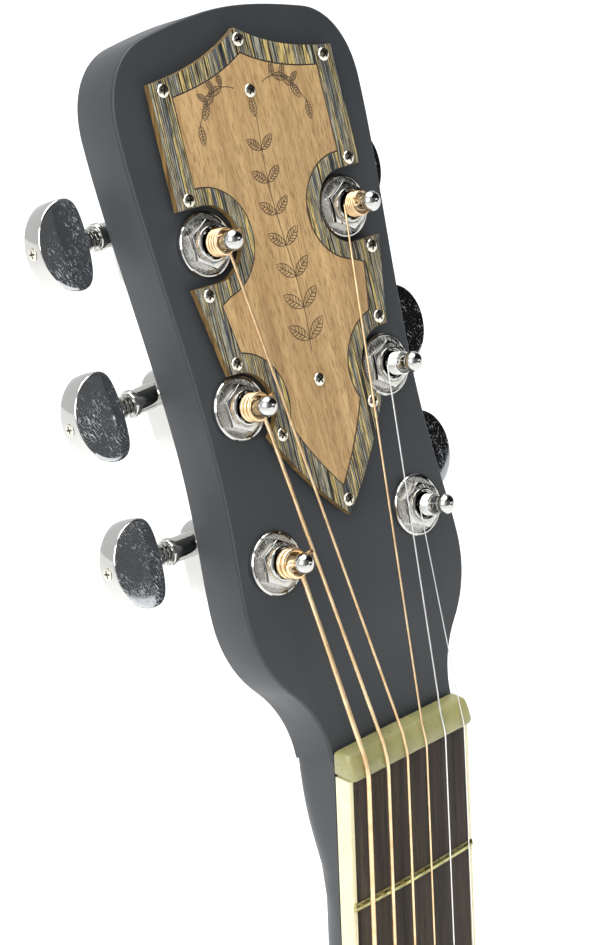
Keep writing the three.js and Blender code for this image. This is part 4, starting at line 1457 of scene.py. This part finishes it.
@dataclass
class GuitarString:
    """One string from its post, over the nut and the saddle, to its pin."""

    number: int
    radius: float
    nut_spread: float = 35.7
    saddle_spread: float = 55

    def path(self) -> list[Vector]:
        """The string's line, with its bend over the nut rounded."""
        spot = post_spot(self.number)
        nut_x, saddle_x = string_x(self.number, self.nut_spread), string_x(self.number, self.saddle_spread)
        inner = Vector((spot.y, nut_x - spot.x, 0)).normalized() * -copysign(1, spot.x)
        start = HEAD @ (Vector((spot.x, spot.y, LOWEST_TURN)) + inner * (POST_CORE + self.radius))
        end = node_box(f"string_{self.number}")[0].z
        saddle_z = saddle_x * SADDLE_SLOPE - SCALE
        lift = node_box("saddle")[0].y + 0.05 + SADDLE_CROWN * (saddle_x / 36) ** 2
        return [
            start,
            Vector((nut_x, -0.25 - self.radius, 7.2)),
            Vector((nut_x, -1.25 - self.radius, 3.6)),
            Vector((nut_x, -1.58 - self.radius, 1.8)),
            Vector((nut_x, -1.7 - self.radius, 0.4)),
            Vector((saddle_x, lift - self.radius, saddle_z + 0.8)),
            Vector((saddle_x, lift - self.radius + 0.15, saddle_z - 0.9)),
            Vector((saddle_x, -2.2 - self.radius, end + 0.3)),
        ]

    def build(self) -> None:
        """Makes the string, with the turns of its winding as fine ridges."""
        wound = self.number >= FIRST_WOUND
        pitch = 0.42 + 0.5 * self.radius
        knots = self.path()
        path: list[Vector] = []
        for a, b in zip(knots, knots[1:]):
            count = max(1, round((b - a).length / (pitch / 2))) if wound else 1
            path += [a.lerp(b, i / count) for i in range(count)]
        path.append(knots[-1])
        count = len(path) - 1

        def radius(share: float) -> float:
            return self.radius * (0.93 if wound and round(share * count) % 2 else 1.0)

        strand = wire(f"wire_of_string_{self.number}", path, radius, 7 if wound else 8)
        finish, slot = (BRONZE, "bronze_wound") if wound else (STEEL, "plain_steel")
        placed(strand, finish, slot, replaces=[f"string_{self.number}"], smooth=70)


STRINGS = [GuitarString(number, radius) for number, radius in enumerate(STRING_RADII, 1)]


# ---------------------------------------------------------------- body


@dataclass
class Shell:
    """The hollow body: soundboard, back, rim, bindings, rosette and pickguard."""

    wall: float = 3
    edge: float = 2.4  # the bindings' width
    rounding: float = 0.5  # of the bindings' corners
    gap: float = 0.08
    hole: tuple = (-509, 50.8)  # height and radius of the soundhole

    def __post_init__(self) -> None:
        """Reads the body's box and its back's slope."""
        self.low, self.high = node_box("rim")
        self.front = node_box("soundboard")[0].y
        mount = mount_named("back_rest")
        self.slope = Vector(mount["axis"])
        self.on_back = Vector(mount["pos_m"]) / MM

    def outline(self) -> list[Vector]:
        """The body seen from the front, anticlockwise from the neck."""
        top, tail = self.high.z, self.low.z
        segments = [
            ((-100, top), (-146, top - 50), (-146, top - 118)),
            ((-146, top - 152), (-136.5, top - 172), (-136.5, top - 208)),
            ((-136.5, top - 262), (-198.5, top - 300), (-198.5, top - 376)),
            ((-198.5, top - 462), (-110, tail), (0, tail)),
            ((110, tail), (198.5, top - 462), (198.5, top - 376)),
            ((198.5, top - 300), (136.5, top - 262), (136.5, top - 208)),
            ((136.5, top - 172), (146, top - 152), (146, top - 118)),
            ((146, top - 74), (128, top - 38), (98, top - 38)),
            ((78, top - 38), (74, top - 60), (55, top - 60)),
            ((38, top - 60), (30, top - 36), (30, top)),
        ]
        return curve_points((-30, top), segments, 22)

    def back_y(self, z: float, under: float = 0) -> float:
        """How deep the back is at a height, or a surface that lies under it."""
        return self.on_back.y - (z - self.on_back.z) * self.slope.z / self.slope.y - under / self.slope.y

    def layer(self, outline: Line, under: float) -> list[Vector]:
        """An outline laid on the back, or under it."""
        return [Vector((p.x, self.back_y(p.y, under), p.y)) for p in outline]

    def level(self, outline: Line, y: float) -> list[Vector]:
        """An outline laid at one depth."""
        return [Vector((p.x, y, p.y)) for p in outline]

    def build(self) -> None:
        """Makes every piece."""
        full = self.outline()
        panel = inset(full, self.edge + self.gap)
        inner = inset(full, self.wall)
        front, inside = self.front, self.front + self.wall
        hole = arc_points((0, self.hole[0]), self.hole[1], 0, -360, 96)[:-1]
        top = plate("spruce_top", [panel, hole], -inside, -front, 0.3)
        placed(moved(top, FRONT), LACQUER, "black_satin", replaces=["soundboard"])
        lid, under = inside + self.gap, self.wall + self.gap
        level, layer = self.level, self.layer
        rings = [level(full, lid), layer(full, under), layer(inner, under), level(inner, lid)]
        rim = loft("bent_rim", rings, tube=True)
        self.cut_rim(rim)
        placed(rim, LACQUER, "black_satin", replaces=["rim"])
        rings = [layer(panel, self.wall), layer(panel, 0.4), layer(inset(panel, 0.4), 0)]
        placed(loft("carved_back", rings), LACQUER, "black_satin", replaces=["back"])
        band, soft, soft_in = (inset(full, d) for d in (self.edge, self.rounding, self.edge - 0.05))
        for side, lay, face, foot in (("front", level, front, inside), ("back", layer, 0, self.wall)):
            rings = [lay(full, foot), lay(full, face + self.rounding), lay(soft, face), lay(soft_in, face)]
            strip = loft(f"{side}_edge_binding", [*rings, lay(band, foot)], tube=True)
            placed(strip, BINDING, "cream_binding", replaces=[f"{side}_binding"])
        self.build_rosette()
        self.build_pickguard()
        self.build_lining(inset(full, self.wall + 0.2), inside)

    def cut_rim(self, rim: Piece) -> None:
        """Cuts the preamp's window and the jack's hole in the rim."""
        low, high = node_box("preamp_case")
        knob = Vector(joint("bass_turn")["axis"])
        turn = Matrix.Rotation(atan2(-knob.z, -knob.x), 4, "Y").inverted()
        centre = (low + high) / 2
        window = block("window", (40, 41, 81), (0, 0, 0))
        moved(window, shift(low.x + 8, centre.y, centre.z - 0.5) @ turn)
        jack = node_box("output_jack")
        hole = rod("hole", 6.35, jack[0].z - 5, jack[1].z + 5, 48)
        moved(hole, shift(0, (jack[0].y + jack[1].y) / 2, 0))
        combined(rim, [window, hole], Blend.CUT)

    def build_rosette(self) -> None:
        """Three rings let into the top round the soundhole."""
        z, radius = self.hole
        place = shift(0, self.front, z) @ FRONT
        for name, inner, outer, finish, slot in (
            ("rosette_inner_line", 3.6, 4.4, BINDING, "cream_binding"),
            ("rosette_band", 4.9, 9.6, VENEER_RING, "striped_wood"),
            ("rosette_outer_line", 10.1, 10.9, BINDING, "cream_binding"),
        ):
            a, b = radius + inner, radius + outer
            profile = [(a, -0.5), (b, -0.5), (b, 0.02), (b - 0.06, 0.08), (a + 0.06, 0.08), (a, 0.02)]
            placed(moved(turned(name, [*profile, profile[0]], 120), place), finish, slot)

    def build_pickguard(self) -> None:
        """The scratchplate that follows the soundhole."""
        z, radius = self.hole
        ring = radius + 12
        start = radians(38)
        corner = (ring * cos(start), z + ring * sin(start))
        foot = arc_points((0, z), ring, 38, -88, 40)
        segments = [
            ((8, z - 92), (30, z - 108), (62, z - 106)),
            ((104, z - 103), (118, z - 64), (104, z - 28)),
            ((94, z - 2), (84, z + 22), (72, z + 44)),
            ((66, z + 52), (58, z + 48), corner),
        ]
        outline = spaced([*foot, *curve_points(tuple(foot[-1]), segments, 14)[1:-1]], 0.3)
        guard = plate("scratchplate", [outline], -self.front + 0.3, -self.front + 1.5, 0.35)
        placed(moved(guard, FRONT), TORTOISE, "black_plastic", replaces=["pickguard"])

    def build_lining(self, outline: list[Vector], inside: float) -> None:
        """The strip that glues the soundboard to the rim, seen through the soundhole."""
        inner = inset(outline, 5)
        thin = inset(outline, 1.2)
        layers = ((outline, 0.2), (inner, 0.2), (inner, 5), (thin, 14), (outline, 14))
        rings = [self.level(line, inside + depth) for line, depth in layers]
        placed(loft("front_lining", rings, tube=True), SPRUCE, "spruce")


# ---------------------------------------------------------------- bridge


class Bridge:
    """The bridge with its saddle and pins, and the pickup under the saddle."""

    def build(self) -> None:
        """Makes every piece."""
        low, high = node_box("bridge")
        z = (low.z + high.z) / 2
        w, h = high.x, (high.z - low.z) / 2
        half = curve_points((0, z - h), [((40, z - h), (w - 18, z + h - 24), (w, z + h - 22))], 20)
        half += [*arc_points((w - 4, z + h - 4), 4, 0, 90, 8), Vector((0, z + h))]
        bar = plate("rosewood_bridge", [mirrored(half)], -high.y, -low.y, 1.6)
        moved(bar, FRONT)
        floor = node_box("saddle")[1].y
        lean = shift(0, 0, -SCALE) @ Matrix.Rotation(-SADDLE_SLOPE, 4, "Y")
        slot = moved(block("slot", (72.6, 24, 3.3), (0, floor + 1.4 - 12, 0)), lean)
        holes = []
        for string in STRINGS:
            x = string_x(string.number, string.saddle_spread)
            hole = rod("hole", 2.7, -20, 20, 28)
            holes.append(moved(hole, shift(x, 0, self.pin_z(x)) @ FRONT))
        combined(bar, [slot, *holes], Blend.CUT)
        placed(bar, BRIDGE_WOOD, "rosewood", replaces=["bridge"])
        self.build_saddle(lean)
        self.build_pins(low.y)
        strip = refined("piezo_pickup", "pickup_strip", 0.1)
        placed(strip, ROD_STEEL, "steel", replaces=["piezo_pickup"])

    def pin_z(self, x: float) -> float:
        """The height of a pin's hole."""
        return x * SADDLE_SLOPE - SCALE - 14.6

    def build_saddle(self, lean: Matrix) -> None:
        """The bone saddle with its crowned top."""
        low, high = node_box("saddle")
        half = 35.9
        shares = [1 - i / 15 for i in range(31)]
        crown = [Vector((half * t, -low.y - SADDLE_CROWN * t**2 - 0.02)) for t in shares]
        outline = [Vector((-half, -high.y)), Vector((half, -high.y)), *crown]
        blank = plate("bone_saddle", [outline], -1.38, 1.38, 0.45)
        flip = Matrix(((1, 0, 0, 0), (0, -1, 0, 0), (0, 0, -1, 0), (0, 0, 0, 1)))
        placed(moved(blank, lean @ flip), NUT_BONE, "bone", replaces=["saddle"], smooth=50)

    def build_pins(self, top: float) -> None:
        """Six bridge pins with domed heads, each with a small dot."""
        dome = [(3.6 * cos(a), 1.35 + 1.65 * sin(a)) for a in (radians(6 * i - 20) for i in range(19))]
        model = turned("pin_model", [(0, -15), (2.3, -15), (2.6, 0.2), (3.3, 0.4), *dome[:-1], (0, 3.0)], 36)
        dot = turned("pin_dot_model", [(0, 2.7), (0.9, 2.7), (0.9, 2.98), (0, 3.08)], 20)
        for string in STRINGS:
            x = string_x(string.number, string.saddle_spread)
            place = shift(x, top - 0.1, self.pin_z(x)) @ FRONT
            placed(copied(model, f"bridge_pin_{string.number}", place), BINDING, "bone", smooth=40)
            placed(copied(dot, f"bridge_pin_dot_{string.number}", place), BLACK_LINE, "black_plastic")
        bpy.data.objects.remove(model)
        bpy.data.objects.remove(dot)


# ---------------------------------------------------------------- electronics and hardware


@dataclass
class Electronics:
    """The preamp with its knobs, door and battery, the output jack and the strap button."""

    edge: float = 0.6

    def build(self) -> None:
        """Makes every piece."""
        case = refined("preamp_case", "preamp_moulding", self.edge)
        placed(case, MOULDED, "black_plastic", replaces=["preamp_case"])
        battery = refined("battery", "nine_volt_battery", 1.2)
        placed(battery, JACKET, "battery_jacket", replaces=["battery"])
        self.build_door()
        for name in ("volume", "bass", "treble"):
            self.build_knob(name)
        self.build_jack()
        self.build_strap_button()

    def outward(self, name: str) -> Matrix:
        """The place of a joint on the preamp, with Z pointing out of the side.

        Args:
            name: The joint.

        Returns:
            The place, in millimetres.
        """
        turn = facing(Vector(joint("bass_turn")["axis"]).normalized(), (0, 1, 0))
        return Matrix.Translation(Vector(joint(name)["pos_m"]) / MM) @ turn

    def build_door(self) -> None:
        """The battery door, with finger ribs."""
        place = self.outward("battery_door_open")
        lid = plate("battery_lid", [rounded_box(32, 54, 2, (-16, 0))], -1.8, 0, 0.35)
        ribs = []
        for i in range(7):
            rib = plate("rib", [rounded_box(13, 0.9, 0.4, (-16, 16 + 1.5 * i - 4.5))], -0.5, 0.35, 0.14)
            ribs.append(rib)
        combined(lid, ribs, Blend.JOIN)
        placed(moved(lid, place), MOULDED, "black_plastic", "battery_door", ["battery_door"])

    def build_knob(self, name: str) -> None:
        """A knob with a ribbed rim and a raised pointer.

        Args:
            name: Which of the three it is.
        """
        place = self.outward(f"{name}_turn")
        knob = plate(f"{name}_control", [toothed(5.18, 4.86, 30)], -3.3, 4.0, 0.25)
        shaft = rod("shaft", 1.7, -13, -3, 24)
        pointer = plate("pointer", [rounded_box(0.9, 4.6, 0.4, (0, 2.2))], 3.5, 4.3, 0.15)
        combined(knob, [shaft, pointer], Blend.JOIN)
        placed(moved(knob, place), MOULDED, "black_plastic", f"{name}_knob", [f"{name}_knob"])

    def build_jack(self) -> None:
        """The output jack, shaped as a strap button, with its nut."""
        low, high = node_box("output_jack")
        tail = low.z + 14
        place = shift(0, (low.y + high.y) / 2, tail)
        profile = [
            (3.25, -13.6), (3.6, -14), (6.4, -14), (7.1, -13.6), (7.6, -12.8), (7.7, -11.7), (7.6, -10.8),
            (7.0, -10.0), (5.8, -8.8), (5.4, -7.6), (5.4, -5.2), (5.8, -4.0), (7.2, -2.6), (7.8, -2.0),
            (8.0, -1.2), (7.9, -0.3), (6.0, -0.3), (6.0, 31.8), (5.8, 32), (3.5, 32), (3.25, 31.8),
            (3.25, -13.6),
        ]
        jack = turned("jack_socket", profile, 64)
        placed(moved(jack, place), CHROME, "chrome", replaces=["output_jack"])
        hexagon, bore = arc_points((0, 0), 9, 0, 360, 6)[:-1], arc_points((0, 0), 6.3, 360, 0, 40)[:-1]
        placed(moved(plate("jack_nut", [hexagon, bore], 3.6, 6.0, 0.3), place), CHROME, "chrome")

    def build_strap_button(self) -> None:
        """The strap button over the neck block, and its screw."""
        mount = mount_named("strap_button_end")
        place = Matrix.Translation(Vector(mount["pos_m"]) / MM) @ facing(Vector(mount["axis"]))
        place = place @ shift(0, 0, -10.6)
        profile = [
            (0, 0.3), (5.2, 0.3), (5.4, 0.6), (5.0, 1.2), (4.1, 2.4), (3.8, 3.6), (3.8, 5.4), (4.2, 6.8),
            (5.6, 8.1), (6.4, 8.7), (6.6, 9.3), (6.4, 9.9), (5.6, 10.4), (3.4, 10.5), (2.6, 9.6), (0, 9.6),
        ]
        button = moved(turned("rear_strap_button", profile, 56), place)
        placed(button, CHROME, "chrome", replaces=["strap_button"])
        screw = moved(cross_screw("strap_button_screw", 2.3, 0.7), place @ shift(0, 0, 9.6))
        placed(screw, SCREW_METAL, "chrome")


def dress_inner_woodwork() -> None:
    """Rounds and finishes the blocks, braces and rods inside the body and the neck."""
    for node in ("neck_block", "tail_block", "x_brace", "back_braces", "bridge_plate"):
        placed(refined(node, f"spruce_{node}", 0.8), SPRUCE, "spruce", replaces=[node])
    placed(refined("truss_rod", "adjuster_rod", 0.5), ROD_STEEL, "steel", replaces=["truss_rod"])
    nut = refined("truss_rod_nut", "adjuster_nut", 0.3)
    placed(nut, ROD_STEEL, "steel", "truss_rod_nut", ["truss_rod_nut"])


# ---------------------------------------------------------------- studio


@dataclass
class Studio:
    """The camera, the floor and the lights."""

    eye: tuple = (-0.35693, -0.35559, 0.27342)
    forward: tuple = (0.62765, 0.68947, -0.36151)
    up: tuple = (0.28310, 0.23043, 0.93100)
    lens: float = 84.6
    floor_drop: float = 0.012

    def set_camera(self) -> None:
        """Places the camera, which looks down on the headstock from the bass side."""
        data = bpy.data.cameras.new("camera")
        data.lens = self.lens
        data.sensor_width = 36
        data.clip_start = 0.01
        camera = linked("camera", data)
        ahead, up = Vector(self.forward).normalized(), Vector(self.up)
        right = ahead.cross(up).normalized()
        camera.matrix_world = Matrix.Translation(self.eye) @ axes(right, right.cross(ahead), -ahead)
        bpy.context.scene.camera = camera

    def lay_floor(self) -> None:
        """A pale floor under the guitar."""
        clear()
        bpy.ops.mesh.primitive_circle_add(vertices=96, radius=80, fill_type="NGON")
        floor = bpy.context.object
        floor.name = "floor"
        floor.data.transform(shift(0, 0, CAD_BOX[0][2] - self.floor_drop))
        made = Recipe("floor_paint", Roughness=0.9, Specular_IOR_Level=0.1)
        shade = made.noise(made.grid(), 3, 2)
        made.to("Base Color", made.ramp(shade, [(0.3, (0.93, 0.93, 0.93)), (0.7, (0.95, 0.95, 0.95))]))
        floor.data.materials.append(made.made)

    def light(self, name: str, place: tuple, size: tuple, power: float, aim: tuple = (0, 0.02, 0.08)) -> None:
        """Adds a soft rectangular light.

        Args:
            name: Its name.
            place: Where it stands, in metres.
            size: Its width and height.
            power: Its power in watts.
            aim: The point it faces.
        """
        data = bpy.data.lights.new(name, "AREA")
        data.shape = "RECTANGLE"
        data.size, data.size_y = size
        data.energy = power
        lamp = linked(name, data)
        lamp.location = place
        lamp.rotation_euler = (Vector(aim) - Vector(place)).to_track_quat("-Z", "Y").to_euler()

    def set_lights(self) -> None:
        """Softboxes on the left and above, a dim panel in front, a wide overhead light and the room."""
        self.light("key", (-1.4, -0.7, 1.0), (1.1, 1.1), 24)
        self.light("top", (0.1, 0.5, 1.9), (1.4, 1.4), 16)
        self.light("front_panel", (0.40, -2.0, 0.3), (2.0, 2.4), 2.2)
        sun = bpy.data.lights.new("overhead", "SUN")
        sun.energy = 2.6
        sun.angle = radians(60)
        linked("overhead", sun)
        self.surround()
        bpy.context.scene.view_settings.view_transform = "Standard"

    @staticmethod
    def surround() -> None:
        """A pale room, dark at the front right so that the polished faces keep their contrast."""
        world = bpy.data.worlds.new("surround")
        world.use_nodes = True
        tree = world.node_tree
        paint = tree.nodes["Background"]
        paint.inputs["Color"].default_value = (0.97, 0.98, 1.0, 1)
        direction = tree.nodes.new("ShaderNodeTexCoord")
        toward = tree.nodes.new("ShaderNodeVectorMath")
        toward.operation = "DOT_PRODUCT"
        toward.inputs[1].default_value = (0.72, -0.69, 0.0)
        shade = tree.nodes.new("ShaderNodeMapRange")
        for key, value in {"From Min": 0.1, "From Max": 0.6, "To Min": 0.92, "To Max": 0.02}.items():
            shade.inputs[key].default_value = value
        tree.links.new(direction.outputs["Generated"], toward.inputs[0])
        tree.links.new(toward.outputs["Value"], shade.inputs["Value"])
        tree.links.new(shade.outputs["Result"], paint.inputs["Strength"])
        bpy.context.scene.world = world


def main() -> None:
    """Builds the guitar, sub-assembly by sub-assembly, and its studio."""
    logging.basicConfig(level=logging.INFO, format="%(name)s: %(message)s")
    studio = Studio()
    studio.set_camera()
    Neck().build()
    Overlay().build()
    build_tuners()
    Board().build()
    for string in STRINGS:
        string.build()
    Shell().build()
    Bridge().build()
    Electronics().build()
    dress_inner_woodwork()
    studio.lay_floor()
    studio.set_lights()


if __name__ == "__main__":
    main()
